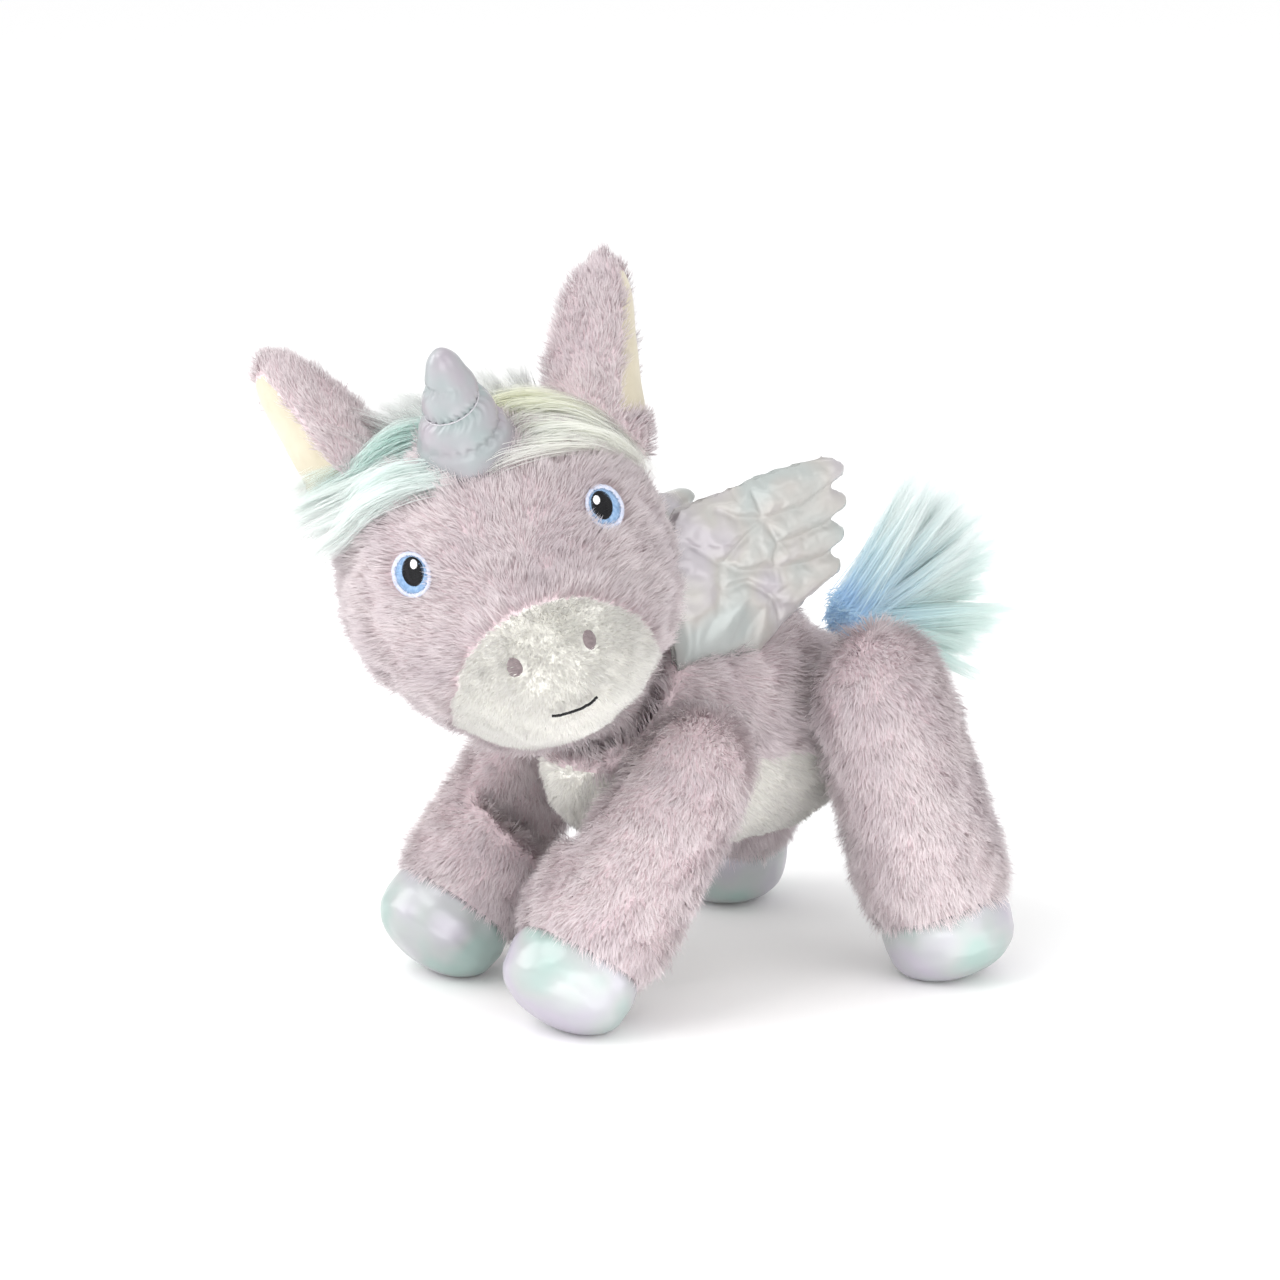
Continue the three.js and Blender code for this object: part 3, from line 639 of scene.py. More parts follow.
def hoof(leg):
    """A padded hoof cap: a side band, a soft seam and a rounded sole, pressed flat on the floor."""
    top, _, down, length = leg_axis(leg)
    dome_top = length - HOOF_DOME / 3
    profile = [(1.0, dome_top - HOOF_SIDE - 3), (HOOF_RADIUS - 4, dome_top - HOOF_SIDE - 3)]
    for t in np.linspace(0, 1, 10):
        swell = 0.9 * math.sin(math.pi * t)
        profile.append((HOOF_RADIUS - 1.5 + 1.0 * t + swell * 0.6, dome_top - HOOF_SIDE - 1 + t * (HOOF_SIDE - 1)))
    profile.append((HOOF_RADIUS - 0.9, dome_top + 0.6))
    for t in np.linspace(0.12, 1, 14):
        angle = t * math.pi / 2
        profile.append((max(0.6, (HOOF_RADIUS - 0.6) * math.cos(angle) ** 0.9), dome_top + HOOF_DOME * math.sin(angle)))
    side = unit(np.cross(down, (0.0, 0.0, 1.0)))
    other = np.cross(down, side)

    def place(points):
        out = top + (points[:, :1] * side + points[:, 1:2] * other + points[:, 2:] * down) * MM
        low = out[:, 2]
        out[:, 2] = np.where(low < 1.2 * MM, 0.05 * MM + 1.15 * MM * np.exp(np.minimum(low / MM - 1.2, 0) / 1.15), low)
        return out

    obj = lathe("hoof_cap_" + leg, profile[::-1], 64, place)
    obj.data.materials.append(HOOF_FOIL)
    wrinkle = Waves(61, 11 * MM)
    verts, _ = arrays(obj)
    normal = np.zeros(len(verts) * 3)
    obj.data.vertices.foreach_get("normal", normal)
    ripple = wrinkle(verts)[:, :1] * 0.16 * MM * smooth(verts[:, 2:3], 2 * MM, 8 * MM)
    set_verts(obj, verts + normal.reshape(-1, 3) * ripple)
    subdivided(obj)
    return finish_piece(obj, ("hoof_" + leg,))


for number, leg in enumerate(LEGS):
    top, foot, down, length = leg_axis(leg)
    body = skin("leg_body_" + leg, "leg_stuffing_" + leg, 4.5 * MM, 2.5 * MM, LILAC_SHADED_BACKING)
    finish_piece(body, ("leg_stuffing_" + leg, "leg_cover_" + leg))
    surface = arrays(body)
    on_leg = near(["leg_cover_" + leg], ["hoof_" + leg], 0.009)
    fur = pile("leg_pile_" + leg, surface, on_leg, lambda p, d=down: np.tile(d * 1.0, (len(p), 1)), 8.5, 2.2, 30 + number,
               None, 0.34, 1.0, 0.34, 0.13)
    finish_piece(fur)
    cap = hoof(leg)
    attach(cap, "leg_" + leg)
    for piece in (body, fur):
        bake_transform(piece)

# Head
head = skin("head_body", "head_stuffing", 4.5 * MM, 3 * MM, LILAC_SHADED_BACKING)
finish_piece(head, ("head_stuffing", "head_cover"))
head_surface = arrays(head)
head_tree = BVHTree.FromPolygons(head_surface[0].tolist(), head_surface[1].tolist())
face = near(["head_cover"], ["muzzle_panel"])
snout = near(["muzzle_panel"], ["head_cover"])
two_tone(head, snout)
EYES = {"left": 1, "right": -1}
FACE_ACROSS, EYE_ACROSS, EYE_UP = 1.7, 39.0, 17.0
EYE_HALF = np.array((7.0, 8.6))
NOSTRIL_ACROSS, NOSTRIL_UP = 13.8, -31.5


def bald(points):
    """Stitching has no pile under it."""
    local = to_head(points)
    out = np.zeros(len(points), bool)
    for sign in (1, -1):
        offset = (local[:, (0, 2)] - (FACE_ACROSS + sign * EYE_ACROSS, EYE_UP)) / (EYE_HALF + 0.9)
        out |= ((offset ** 2).sum(1) < 1) & (local[:, 1] < 0)
        offset = (local[:, (0, 2)] - (FACE_ACROSS + sign * NOSTRIL_ACROSS, NOSTRIL_UP)) / (3.0, 4.1)
        out |= ((offset ** 2).sum(1) < 1) & (local[:, 1] < 0)
    return out


def comb_head(points):
    """Up and back from the nose, and outwards over the cheeks."""
    local = to_head(points)
    return head_direction(np.stack([local[:, 0] * 0.022, np.full(len(local), 0.55), np.full(len(local), 0.55)], 1))


def comb_snout(points):
    local = to_head(points)
    return head_direction(np.stack([local[:, 0] * 0.02, np.full(len(local), 0.35), np.full(len(local), -0.6)], 1))


head_pile = pile("head_pile", head_surface, lambda p: face(p) & ~bald(p), comb_head, 8.0, 2.0, 21, rough=0.38)
muzzle_pile = pile(
    "muzzle_pile", head_surface, lambda p: snout(p) & ~bald(p), comb_snout, 4.0, 4.2, 22, WHITE_PILE, 0.30, 0.55, 0.3, 0.04)
finish_piece(head_pile)
finish_piece(muzzle_pile, ("muzzle_panel",))
for piece in (head, head_pile, muzzle_pile):
    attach(piece, "head")


# ---- stitching on the face ----

def on_face(across, up, lift):
    """A point on the front of the face, lift millimetres clear of it."""
    start = head_point((across, -200, up))
    hit, normal, _, _ = head_tree.ray_cast(Vector(start), Vector(head_direction((0, 1, 0))))
    return np.array(hit) + np.array(normal) * lift * MM, np.array(normal)


def stitches(name, segments, width, material, lift, rise=0.35):
    """Satin stitches: each is a rounded thread from one place on the face to another."""
    verts, faces = [], []
    for (x0, z0), (x1, z1) in segments:
        rings = []
        for t in np.linspace(0, 1, 4):
            height = lift + rise * math.sin(math.pi * t)
            point, normal = on_face(x0 + (x1 - x0) * t, z0 + (z1 - z0) * t, height)
            rings.append((point, normal))
        ahead = unit(rings[-1][0] - rings[0][0])
        base = len(verts)
        for point, normal in rings:
            side = unit(np.cross(ahead, normal))
            for angle in (0, 60, 120, 180, 240, 300):
                a = math.radians(angle)
                verts.append(point + (side * math.cos(a) + normal * math.sin(a)) * width / 2 * MM)
        for ring in range(3):
            for i in range(6):
                j = (i + 1) % 6
                faces.append((base + ring * 6 + i, base + ring * 6 + j, base + ring * 6 + 6 + j, base + ring * 6 + 6 + i))
        faces.append([base + i for i in range(6)][::-1])
        faces.append([base + 18 + i for i in range(6)])
    obj = add(name, verts, faces)
    obj.data.materials.append(material)
    return obj


def ring_stitches(centre, half, inner, outer, count, rng, skew=0.0):
    """Stitches that run out from an oval, from one share of its size to another."""
    out = []
    for i in range(count):
        a = 2 * math.pi * (i + rng.uniform(-0.15, 0.15)) / count
        b = a + skew
        near_end = inner + rng.uniform(-0.03, 0.03)
        far_end = outer + rng.uniform(-0.015, 0.015)
        out.append((
            (centre[0] + half[0] * near_end * math.cos(a), centre[1] + half[1] * near_end * math.sin(a)),
            (centre[0] + half[0] * far_end * math.cos(b), centre[1] + half[1] * far_end * math.sin(b))))
    return out


def fill_stitches(centre, half, spacing, slant=0.0):
    """Rows of stitches across an oval."""
    out = []
    for z in np.arange(-half[1] + spacing / 2, half[1], spacing):
        x = half[0] * math.sqrt(max(0.0, 1 - (z / half[1]) ** 2))
        if x > 0.2:
            out.append(((centre[0] - x, centre[1] + z - slant * x), (centre[0] + x, centre[1] + z + slant * x)))
    return out


for side, sign in EYES.items():
    rng = np.random.default_rng(70 + sign)
    centre = (FACE_ACROSS + sign * EYE_ACROSS, EYE_UP)
    pupil = (centre[0] - sign * 0.9, centre[1] + 0.9)
    glint = (pupil[0] - sign * 1.4, pupil[1] + 2.4)
    rim = stitches(f"eye_rim_{side}", ring_stitches(centre, EYE_HALF, 0.86, 1.05, 128, rng), 0.44, PALE_THREAD, 3.0)
    iris = stitches(f"eye_iris_{side}", ring_stitches(centre, EYE_HALF, 0.35, 0.88, 96, rng), 0.46, BLUE_THREAD, 2.8)
    under = stitches(f"eye_ground_{side}", fill_stitches(centre, EYE_HALF * 0.9, 0.4), 0.5, BLUE_THREAD, 2.3)
    black = stitches(f"eye_pupil_{side}", fill_stitches(pupil, (4.2, 5.6), 0.36, 0.12), 0.48, BLACK_THREAD, 3.1)
    white = stitches(f"eye_glint_{side}", fill_stitches(glint, (1.35, 1.7), 0.34, 0.2), 0.42, WHITE_THREAD, 3.6)
    finish_piece(iris, ("eye_" + side,))
    for piece in (rim, iris, under, black, white):
        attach(piece, "head")
    nose = (FACE_ACROSS + sign * NOSTRIL_ACROSS, NOSTRIL_UP)
    nostril = stitches(f"nostril_satin_{side}", fill_stitches(nose, (2.5, 3.6), 0.36, 0.25 * sign), 0.5, NOSE_THREAD, 4.6)
    finish_piece(nostril, ("nostril_" + side,))
    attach(nostril, "head")

MOUTH_ACROSS, MOUTH_UP, MOUTH_RADIUS, MOUTH_SWEEP = 2.4, -30.5, 21.4, 25.0
smile = []
for step in np.linspace(-MOUTH_SWEEP + 5, MOUTH_SWEEP, 20):
    a = math.radians(270 + step)
    smile.append((MOUTH_ACROSS + MOUTH_RADIUS * math.cos(a), MOUTH_UP + MOUTH_RADIUS * math.sin(a)))
mouth = stitches("mouth_thread", list(zip(smile[:-1], smile[1:])), 1.2, BLACK_THREAD, 5.2, 0.1)
finish_piece(mouth, ("mouth_stitch",))
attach(mouth, "head")


# ---- horn ----

HORN_ROOT, HORN_FORWARD = np.array((0.0, -33.0, 60.0)), 44.0
HORN_LENGTH, HORN_RADIUS, HORN_TIP, HORN_SKIRT = 49.0, 20.0, 4.5, 9.0
HORN_AXES = turn("X", HORN_FORWARD)
HORN_PITCH, HORN_CINCH = 15.0, 14.0


def horn_radius(height):
    share = np.clip(height / HORN_LENGTH, 0, 1)
    side = HORN_RADIUS + 0.9 - (HORN_RADIUS - HORN_TIP + 0.4) * share ** 0.92
    return side * np.sqrt(np.clip(1 - ((height - HORN_LENGTH + 7) / 7.6).clip(0, 1) ** 2, 0.002, 1))


def horn_place(points):
    """Cinched in a rising spiral, with gathers where the cord pulls the foil in."""
    height, angle = points[:, 2], np.arctan2(points[:, 1], points[:, 0])
    phase = (height - HORN_CINCH - HORN_PITCH * (angle - 1.2) / (2 * math.pi)) / HORN_PITCH
    off = (phase - np.round(phase)) * HORN_PITCH
    held = smooth(height, 6.0, 10.0) * (1 - smooth(height, 32.0, 37.0))
    depth = 1.6 * np.exp(-(np.abs(off) / 1.7) ** 1.4) * held
    gather = 0.5 * np.sin(angle * 22 + 3 * np.sin(height * 0.5)) * np.exp(-(off / 3.6) ** 2) * held
    puff = 0.40 * np.cos(off / HORN_PITCH * 2 * math.pi + math.pi) * held
    radius = np.maximum(horn_radius(height) - depth + gather + puff, 0.3)
    out = np.stack([radius * np.cos(angle), radius * np.sin(angle), height], 1)
    return head_point(out @ HORN_AXES.T + HORN_ROOT)


horn_profile = [(1.0, -HORN_SKIRT)] + [(1.0, z) for z in np.linspace(-HORN_SKIRT, HORN_LENGTH, 78)]
horn = lathe("horn_cone", horn_profile, 128, horn_place)
horn.data.materials.append(HORN_FOIL)
finish_piece(horn, ("horn_cover", "horn_stuffing"))
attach(horn, "head")


def tube(name, path, radius, sides, material, twist=0.0):
    """A round cord along a path, with a laid twist."""
    path = np.asarray(path)
    ahead = unit(np.gradient(path, axis=0))
    seed = np.array((0.3, 0.2, 0.93))
    across = unit(np.cross(ahead, seed))
    other = np.cross(ahead, across)
    verts, faces = [], []
    for i in range(len(path)):
        for j in range(sides):
            a = 2 * math.pi * j / sides
            r = radius * (1 + 0.12 * math.cos(2 * a + twist * i))
            verts.append(path[i] + (across[i] * math.cos(a) + other[i] * math.sin(a)) * r)
    for i in range(len(path) - 1):
        for j in range(sides):
            k = (j + 1) % sides
            faces.append((i * sides + j, i * sides + k, (i + 1) * sides + k, (i + 1) * sides + j))
    faces.append(list(range(sides))[::-1])
    faces.append([(len(path) - 1) * sides + j for j in range(sides)])
    obj = add(name, verts, faces)
    obj.data.materials.append(material)
    return obj


cord_path = []
for angle in np.linspace(0.0, 2 * math.pi * 1.75, 150):
    height = HORN_CINCH + HORN_PITCH * (angle - 1.2) / (2 * math.pi)
    radius = horn_radius(np.array([height]))[0] - 1.75
    cord_path.append((radius * math.cos(angle), radius * math.sin(angle), height))
cord = tube("horn_cord", head_point(np.array(cord_path) @ HORN_AXES.T + HORN_ROOT), 0.35 * MM, 8, CORD, 0.7)
finish_piece(cord, ("horn_winding_cord",))
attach(cord, "head")


# ---- ears ----

LINING_HALF = {"left": 50.0, "right": 64.0}

for side, sign in EYES.items():
    ear = joined("ear_body_" + side, ["ear_cover_" + side, "ear_lining_" + side])
    remeshed(ear, 2.6 * MM, 6)
    puffed(ear, 1.5 * MM)
    verts, tris = arrays(ear)
    patch, _ = arrays(frame["nodes"]["ear_lining_" + side])
    root = np.array(JOINTS["ear_flop_" + side]["pos_m"])
    rise = unit(verts.mean(0) - root)
    outward = unit(patch.mean(0) - verts.mean(0))
    outward = unit(outward - rise * (outward @ rise))
    aside = np.cross(rise, outward)

    def lining(points, root=root, rise=rise, outward=outward, aside=aside, half=LINING_HALF[side]):
        local = points - root
        height = local @ rise
        bearing = np.degrees(np.arctan2(local @ aside, local @ outward))
        return (np.abs(bearing) < half) & (height > 8 * MM) & (height < 66 * MM)

    def shell(points, lining=lining):
        return ~lining(points)

    inside = lining(verts)
    middle = verts[inside].mean(0)
    normal = np.zeros(len(verts) * 3)
    ear.data.vertices.foreach_get("normal", normal)
    normal = normal.reshape(-1, 3)
    spread = np.linalg.norm(verts - middle, axis=1) / (np.linalg.norm(verts[inside] - middle, axis=1).max() + 1e-9)
    cup = np.where(inside, 3.5 * MM * (1 - smooth(spread, 0.2, 1.0)), 0)
    set_verts(ear, verts - normal * cup[:, None])
    subdivided(ear)
    ear.data.materials.clear()
    ear.data.materials.append(LILAC_SHADED_BACKING)
    ear.data.materials.append(EAR_LINING)
    verts, tris = arrays(ear)
    centres = np.array([polygon.center for polygon in ear.data.polygons])
    ear.data.polygons.foreach_set("material_index", lining(centres).astype(np.int32))
    ear.data.update()
    fur = pile("ear_pile_" + side, (verts, tris), shell, lambda p, r=rise: np.tile(r, (len(p), 1)), 6.5, 2.2, 40 + sign,
               None, 0.36, 1.0, 0.5, 0.2)
    finish_piece(ear, ("ear_cover_" + side, "ear_lining_" + side))
    finish_piece(fur)
    for piece in (ear, fur):
        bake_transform(piece)


# ---- wings ----

WING_PARTS = ("outer_panel", "wadding", "inner_panel")
WING_REST = {"left": 3.0, "right": -66.0}
WING_SEAMS = [
    ((49, 52), (37, 45), (19, 43), (5, 45), (-4, 50)), ((52, 37), (38, 33), (27, 31)), ((13, 55), (19, 43), (27, 31)),
    ((53, 23.5), (42, 21), (28, 20.5), (8, 22), (-1, 26)), ((-13, 37), (-1, 26), (8, 35), (19, 43)),
    ((-1, 26), (-1, 9)), ((-1, 15), (12, 17), (23, 10), (29, 4)), ((27, 31), (24, 24), (28, 20.5)),
    ((-9, 54), (0, 57.5), (9, 60), (25, 63), (36, 64), (47, 63.5))]


def wing_points(side, points):
    """Row frame to the wing's own plane: towards the tail, up from the hinge, and out of the plane."""
    hinge = np.array(JOINTS["wing_flap_" + side]["pos_m"])
    local = (points - hinge) @ turn("Y", WING_REST[side]) / MM
    return local[:, 1], local[:, 2], local[:, 0]


def along_seams(spacing=1.0):
    """Points along the quilting, in the wing's own plane."""
    out = []
    for seam in WING_SEAMS:
        seam = np.array(seam, float)
        run = np.concatenate([[0], np.cumsum(np.linalg.norm(np.diff(seam, axis=0), axis=1))])
        steps = np.arange(0, run[-1] + spacing, spacing)
        line = np.stack([np.interp(steps, run, seam[:, 0]), np.interp(steps, run, seam[:, 1])], 1)
        for _ in range(4):
            line[1:-1] = (line[:-2] + 2 * line[1:-1] + line[2:]) / 4
        out.append(line)
    return np.concatenate(out)


def distance_to(points, targets):
    """How far each point of a plane is from the nearest target."""
    tree = KDTree(len(targets))
    for i, (x, y) in enumerate(targets):
        tree.insert((x, y, 0.0), i)
    tree.balance()
    return np.array([tree.find((x, y, 0.0))[2] for x, y in points])


def drawn_down(side, points):
    """Brings a wing's foot down on to the torso, where it is sewn, and leaves the rest of it alone."""
    across, up, _ = wing_points(side, points)
    foot = np.stack([np.zeros(len(points)), np.clip(across, *WING_ROOT), np.full(len(points), WING_FOOT)], 1) * MM
    foot = foot @ turn("Y", WING_REST[side]).T + np.array(JOINTS["wing_flap_" + side]["pos_m"])
    reach = np.array([np.array(torso_tree.find_nearest(Vector(p))[0]) for p in foot]) - foot
    return points + reach * WING_SINK * (1 - smooth(up, WING_FOOT, WING_FOOT + 14))[:, None]


WING_ROOT = (-18, 22)    # the sewn edge, towards the tail from the hinge, mm
WING_FOOT = -6           # its height from the hinge, mm
WING_SINK = 1.2          # it ends a little under the torso's fabric
torso_tree = BVHTree.FromPolygons(torso_surface[0].tolist(), torso_surface[1].tolist())
SEAM_POINTS = along_seams()

for side in EYES:
    names = [f"wing_{part}_{side}" for part in WING_PARTS]
    wing = joined("wing_body_" + side, names)
    remeshed(wing, 1.5 * MM, 3)
    verts, _ = arrays(wing)
    across, up, out = wing_points(side, verts)
    flat = np.stack([across, up], 1)
    hinge = np.array(JOINTS["wing_flap_" + side]["pos_m"])
    hinge_axes = turn("Y", WING_REST[side])
    normal = np.zeros(len(verts) * 3)
    wing.data.vertices.foreach_get("normal", normal)
    edge = flat[np.abs((normal.reshape(-1, 3) @ hinge_axes)[:, 0]) < 0.35]
    gap = distance_to(flat, SEAM_POINTS)
    rim = np.clip(distance_to(flat, edge) / 6.0, 0, 1)
    pillow = 0.22 + 1.10 * np.sqrt(1 - (1 - np.clip(gap / 7.0, 0, 1)) ** 2)
    local = (verts - hinge) @ hinge_axes
    local[:, 0] *= pillow * (0.35 + 0.65 * np.sqrt(1 - (1 - rim) ** 2))
    local[:, 1] *= np.where(local[:, 1] < 0, 1.35, 1.0)
    pull = np.exp(-(gap / 1.6) ** 2)
    set_verts(wing, local @ hinge_axes.T + hinge)
    puffed(wing, 1.4 * MM, 3.0, 0.035, pull > 0.6, 16)
    set_verts(wing, drawn_down(side, arrays(wing)[0]))
    subdivided(wing)
    wing.data.materials.clear()
    wing.data.materials.append(WING_FOIL)
    finish_piece(wing, names)
    rise = hinge_axes @ np.array((0.0, 0.0, 1.0))
    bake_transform(wing)


# ---- mane ----

def follow_head(root, heading, length, steps, height, free, droop=0.03):
    """A lock that lies along the head, and leaves it towards its end."""
    points, direction = [root], unit(heading)
    step = length / (steps - 1)
    for i in range(1, steps):
        share = i / (steps - 1)
        ahead = points[-1] + direction * step
        nearest, normal, _, _ = head_tree.find_nearest(Vector(ahead))
        nearest, normal = np.array(nearest), np.array(normal)
        if (ahead - nearest) @ normal < 0:
            normal = unit(nearest - ahead)
        lift = height * (0.35 + 0.65 * math.sin(math.pi * min(1.0, share * 1.1) / 2 + 0.2))
        target = nearest + normal * lift
        hold = 1 - smooth(share, free, free + FREEING)
        ahead = ahead + (target - ahead) * hold
        direction = unit(ahead - points[-1])
        direction = unit(direction - normal * (direction @ normal) * hold + np.array((0, 0, -droop)) * share)
        points.append(ahead)
    return np.array(points)


def flown(root, heading, length, steps, height, furthest):
    """A lock that stands away from the head, only sags a little, and ends short of a plane across the toy."""
    heading = unit(heading)
    if heading[1] < 0:
        length = min(length, (furthest - root[1]) / heading[1])
    share = np.linspace(0, 1, steps)[:, None]
    sag = np.array((0.0, 0.0, -0.13)) * length * share ** 2
    points = root + heading * length * share + sag
    for i, point in enumerate(points):
        nearest, normal, _, _ = head_tree.find_nearest(Vector(point))
        out = (point - np.array(nearest)) @ np.array(normal)
        points[i] = point + np.array(normal) * max(0.0, height * min(1.0, 3 * share[i, 0] + 0.2) - out)
    return points


def gathered(guides, key, count, pull):
    """Draws the ends of neighbouring locks together sideways, so that they end in separate wisps."""
    roots, ends = (np.array([guide[i] for guide in guides]) for i in (0, -1))
    out = list(guides)
    for group in np.array_split(np.argsort(key(ends)), count):
        ahead = unit(ends[group].mean(0) - roots[group].mean(0))
        for i in group:
            shift = ends[group].mean(0) - ends[i]
            shift = shift - ahead * (shift @ ahead)
            out[i] = guides[i] + shift * pull * np.linspace(0, 1, len(guides[i]))[:, None] ** 2
    return out


def head_height(points):
    return to_head(points)[:, 2]


FREEING = 0.3
MANE_FURTHEST = cad_box[0][1] - 13 * MM
MINT, IVORY, YELLOW, SNOW = (0.80, 0.96, 0.92), (0.97, 0.97, 0.93), (0.96, 0.97, 0.84), (0.98, 0.99, 0.98)


def mane_dye(across, back):
    """Mint on the toy's right of the horn, pale yellow on its left, white between and beyond."""
    mint = math.exp(-((across + 20) / 13) ** 2) * math.exp(-((back + 22) / 20) ** 2)
    yellow = math.exp(-((across - 18) / 13) ** 2) * math.exp(-((back + 18) / 22) ** 2)
    colour = np.array(SNOW) * (1 - min(1, mint + yellow)) + np.array(MINT) * mint + np.array(YELLOW) * yellow
    return colour


def locks(name, guides, each, spread, width, dyes, seed, facing):
    """Hairs gathered round guide lines: loose at the root, drawn to a point at the tip."""
    rng = np.random.default_rng(seed)
    lines, colours = [], []
    for guide, dye in zip(guides, dyes):
        points = len(guide)
        share = np.linspace(0, 1, points)
        offset = rng.normal(size=(each, 3)) * spread * MM
        bundle = (1 - 0.82 * share ** 1.3)[None, :, None]
        wave = rng.normal(size=(each, 1, 3)) * (share * (1 - share))[None, :, None] * spread * 1.2 * MM
        stray = rng.normal(size=(each, 1, 3)) * (share ** 2)[None, :, None] * spread * 0.55 * MM
        line = guide[None] + offset[:, None] * bundle + wave + stray
        cut = rng.uniform(0.72, 1.0, each)
        index = cut[:, None] * np.linspace(0, points - 1, points)[None]
        low = np.minimum(index.astype(int), points - 2)
        part = (index - low)[..., None]
        rows = np.arange(each)[:, None]
        lines.append(line[rows, low] * (1 - part) + line[rows, low + 1] * part)
        colours.append(np.broadcast_to(dye, (each, points, 3)))
    lines, colours = np.concatenate(lines), np.concatenate(colours)
    shade = unit(rng.normal(size=(len(lines), 3)) * 0.25 + facing(lines[:, len(lines[0]) // 2]))
    widths = width * MM * rng.uniform(0.7, 1.2, len(lines))
    return hairs(name, lines, widths, shade, LONG_PILE, rng.random(len(lines)), colours)


def surface_normals(points):
    out = []
    for point in points:
        nearest, normal, _, distance = head_tree.find_nearest(Vector(point))
        away = Vector(point) - nearest
        out.append(away.normalized() if distance > 1 * MM else normal)
    return np.array(out)


def crown_root(across, back):
    """A place on the crown, given head-frame x and y in millimetres."""
    start = head_point((across, back, 150))
    hit, normal, _, _ = head_tree.ray_cast(Vector(start), Vector(head_direction((0, 0, -1))))
    if hit is None:
        return None, None
    return np.array(hit), np.array(normal)


def horn_gap(point):
    """How far a point is from the horn's own axis, in millimetres."""
    local = (to_head(point) - HORN_ROOT) @ HORN_AXES
    return math.hypot(local[0], local[1])


rng = np.random.default_rng(81)
guides, dyes = [], []
while len(guides) < 330:
    half = 1 if rng.random() < 0.45 else -1
    back = rng.uniform(-56, 14)
    across = half * (1.0 + abs(rng.normal(0, 14)))
    root, normal = crown_root(across, back)
    if root is None or to_head(root)[2] < 46 or horn_gap(root) < 18.0:
        continue
    height = rng.uniform(3.5, 11.0) * MM
    if half < 0:
        backward = np.clip((-18 - back) * 0.016, -0.10, 0.42)
        heading = head_direction((-1.0, backward + rng.normal(0, 0.06), rng.uniform(-0.24, 0.16)))
        guides.append(flown(root, heading, rng.uniform(48, 80) * MM, 10, height,
                            MANE_FURTHEST + abs(rng.normal(0, 7)) * MM))
    else:
        heading = head_direction((1.0, rng.uniform(-0.30, 0.15) + rng.normal(0, 0.08), 0.0))
        guides.append(follow_head(root, heading, rng.uniform(44, 70) * MM, 10, height, rng.uniform(0.4, 0.65), 0.10))
    base = mane_dye(across + half * 8, back)
    tip = np.array(SNOW if half < 0 else IVORY)
    fade = np.linspace(0, 1, 10)[:, None]
    dyes.append(base * (1 - fade * 0.75) + tip * fade * 0.75)
flying = [i for i, guide in enumerate(guides) if to_head(guide[0])[0] < 0]
lying = [i for i, guide in enumerate(guides) if to_head(guide[0])[0] >= 0]
for chosen, count in ((flying, 11), (lying, 13)):
    drawn = gathered([guides[i] for i in chosen], head_height, count, 0.72)
    for i, guide in zip(chosen, drawn):
        guides[i] = guide
while len(guides) < 400:
    across, back = rng.uniform(-34, 34), rng.uniform(-14, 16)
    root, normal = crown_root(across, back)
    if root is None:
        continue
    heading = head_direction((0.012 * across + rng.normal(-0.15, 0.2), rng.uniform(-0.1, 0.3), 0.9))
    length = rng.uniform(20, 34) * MM
    steps = np.linspace(0, 1, 10)[:, None]
    lean = head_direction((-0.5 if across > 0 else -0.8, 0.0, 0.0))
    guides.append(root + heading * length * steps + lean * length * 0.6 * steps ** 2)
    dyes.append(np.tile(np.array(SNOW), (10, 1)))
forelock = locks("forelock_pile", guides, 60, 2.0, 0.30, dyes, 82, surface_normals)
finish_piece(forelock, ("forelock",))
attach(forelock, "head")

guides, dyes = [], []
for i in range(90):
    back = rng.uniform(18, 52)
    across = rng.normal(0, 8)
    root, normal = crown_root(across, back)
    heading = head_direction((np.sign(across) * 0.5 + rng.normal(0, 0.2), 0.8, -0.6))
    guides.append(follow_head(root, heading, rng.uniform(34, 48) * MM, 9, rng.uniform(3, 9) * MM, 0.85))
    fade = np.linspace(0, 1, 9)[:, None]
    dyes.append(np.array(SNOW) * (1 - fade) + np.array(IVORY) * fade)
crest = locks("crest_pile", guides, 46, 2.6, 0.45, dyes, 83, surface_normals)
finish_piece(crest, ("mane_crest",))
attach(crest, "head")


# ---- tail ----

TAIL_RISE, TAIL_REACH, TAIL_HALF_ANGLE = 16.0, 93.0, 41.0
TAIL_WISPS = 4.5
TAIL_DYES = [(0.0, (0.60, 0.79, 0.97)), (0.22, (0.76, 0.90, 0.97)), (0.5, (0.85, 0.95, 0.97)), (0.75, (0.93, 0.98, 0.97)),
             (1.0, (0.95, 0.97, 0.97))]
tail_root = np.array(JOINTS["tail_lift"]["pos_m"])


def tail_dye(share, phi):
    places = [place for place, _ in TAIL_DYES]
    colours = np.array([colour for _, colour in TAIL_DYES])
    along = np.stack([np.interp(share, places, colours[:, i]) for i in range(3)], 1)
    mint = smooth(np.array([-phi]), -0.5, 0.7)[0]
    return along * (1 - 0.25 * mint) + np.array((0.74, 0.93, 0.87)) * 0.25 * mint


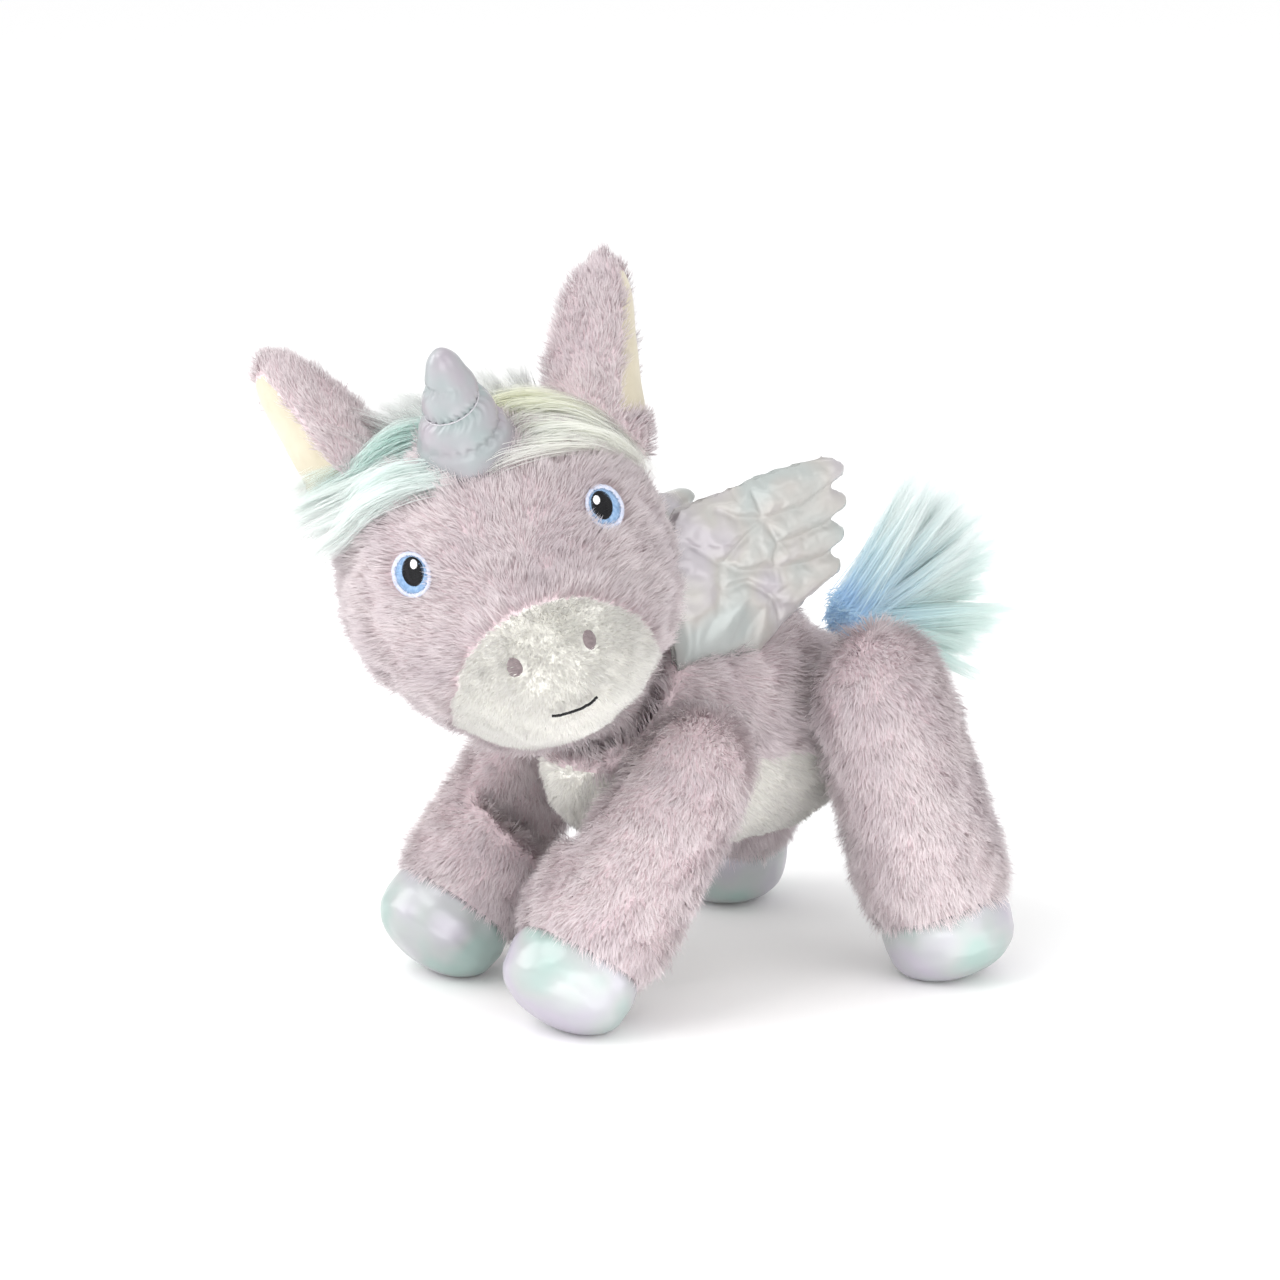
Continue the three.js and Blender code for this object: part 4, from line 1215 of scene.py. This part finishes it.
rng = np.random.default_rng(91)
guides, dyes = [], []
for i in range(150):
    phi = (i + rng.uniform(0, 1)) / 150 * 2 - 1
    angle = math.radians(TAIL_RISE + phi * TAIL_HALF_ANGLE)
    reach = TAIL_REACH * rng.uniform(0.72, 1.04) * (1 - 0.10 * phi ** 2) * MM
    sideways = rng.normal(0, 4.0) * MM
    share = np.linspace(0, 1, 9)
    out = share * reach
    wisp = round(phi * TAIL_WISPS) / TAIL_WISPS
    bend = math.radians(4) * (phi - 0.2) * share ** 2 + math.radians(TAIL_HALF_ANGLE) * (wisp - phi) * 0.6 * share ** 2
    y = np.cos(angle + bend) * out
    z = np.sin(angle + bend) * out
    x = sideways * np.sin(share * math.pi / 2) * 1.4
    foot = np.array((rng.normal(0, 3.6), -1.5, rng.normal(0, 3.6))) * MM
    guides.append(tail_root + foot + np.stack([x, y, z], 1))
    dyes.append(tail_dye(share, phi))


def tail_normals(points):
    away = points - tail_root
    return unit(np.stack([np.sign(away[:, 0] + 1e-9) * 1.0, away[:, 1] * 4, away[:, 2] * 4 + 0.2], 1))


tail = locks("tail_hair", guides, 125, 2.0, 0.36, dyes, 92, tail_normals)
finish_piece(tail, ("tail_pile",))
stub = joined("tail_stub_body", ["tail_stub"])
remeshed(stub, 1.5 * MM, 3)
stub.data.materials.clear()
stub.data.materials.append(LILAC_SHADED_BACKING)
finish_piece(stub, ("tail_stub",))
for piece in (tail, stub):
    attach(piece, "tail")


# ---- floor, light and camera ----

def plain_material(name, colour):
    nodes = Nodes(name)
    nodes.shader.inputs["Base Color"].default_value = (*colour, 1)
    nodes.shader.inputs["Roughness"].default_value = 0.9
    return nodes.material


floor = add("floor", [(-4, -4, 0), (4, -4, 0), (4, 4, 0), (-4, 4, 0)], [(0, 1, 2, 3)])
floor.data.materials.append(plain_material("floor_white", (0.93, 0.93, 0.93)))

world = bpy.data.worlds.new("studio")
world.use_nodes = True
world.node_tree.nodes["Background"].inputs["Color"].default_value = (1, 1, 1, 1)
world.node_tree.nodes["Background"].inputs["Strength"].default_value = 1.04
bpy.context.scene.world = world
bpy.context.scene.view_settings.view_transform = "Standard"

CENTRE = Vector(TOY + np.array((10.0, -27.0, 147.0)) * MM)


def area_light(name, place, size, power):
    data = bpy.data.lights.new(name, "AREA")
    data.size = size
    data.energy = power
    obj = bpy.data.objects.new(name, data)
    obj.location = CENTRE + Vector(place)
    obj.rotation_mode = "QUATERNION"
    obj.rotation_quaternion = (CENTRE - obj.location).to_track_quat("-Z", "Y")
    bpy.context.scene.collection.objects.link(obj)


area_light("key", (0.15, -1.3, 1.2), 0.9, 8.0)
area_light("fill", (1.5, 0.4, 0.8), 1.0, 4.0)
area_light("side", (-0.9, -1.2, 0.6), 1.0, 8.5)
area_light("top", (-0.4, -0.5, 1.5), 1.0, 4.5)
area_light("low", (1.1, -0.9, -0.02), 1.0, 6.6)
area_light("bounce", (0.10, -0.02, -0.1455), 0.36, 0.55)
bpy.data.objects["bounce"].visible_camera = False

CAMERA_AZIMUTH, CAMERA_ELEVATION, CAMERA_DISTANCE, CAMERA_LENS = 57.0, 15.0, 2.0, 136.6
azimuth, elevation = math.radians(CAMERA_AZIMUTH), math.radians(CAMERA_ELEVATION)
back = Vector((math.sin(azimuth) * math.cos(elevation), -math.cos(azimuth) * math.cos(elevation), math.sin(elevation)))
camera = bpy.data.objects.new("camera", bpy.data.cameras.new("camera"))
camera.data.lens = CAMERA_LENS
camera.data.sensor_width = 36.0
camera.location = CENTRE + back * CAMERA_DISTANCE
camera.rotation_mode = "QUATERNION"
camera.rotation_quaternion = (-back).to_track_quat("-Z", "Y")
bpy.context.scene.collection.objects.link(camera)
bpy.context.scene.camera = camera
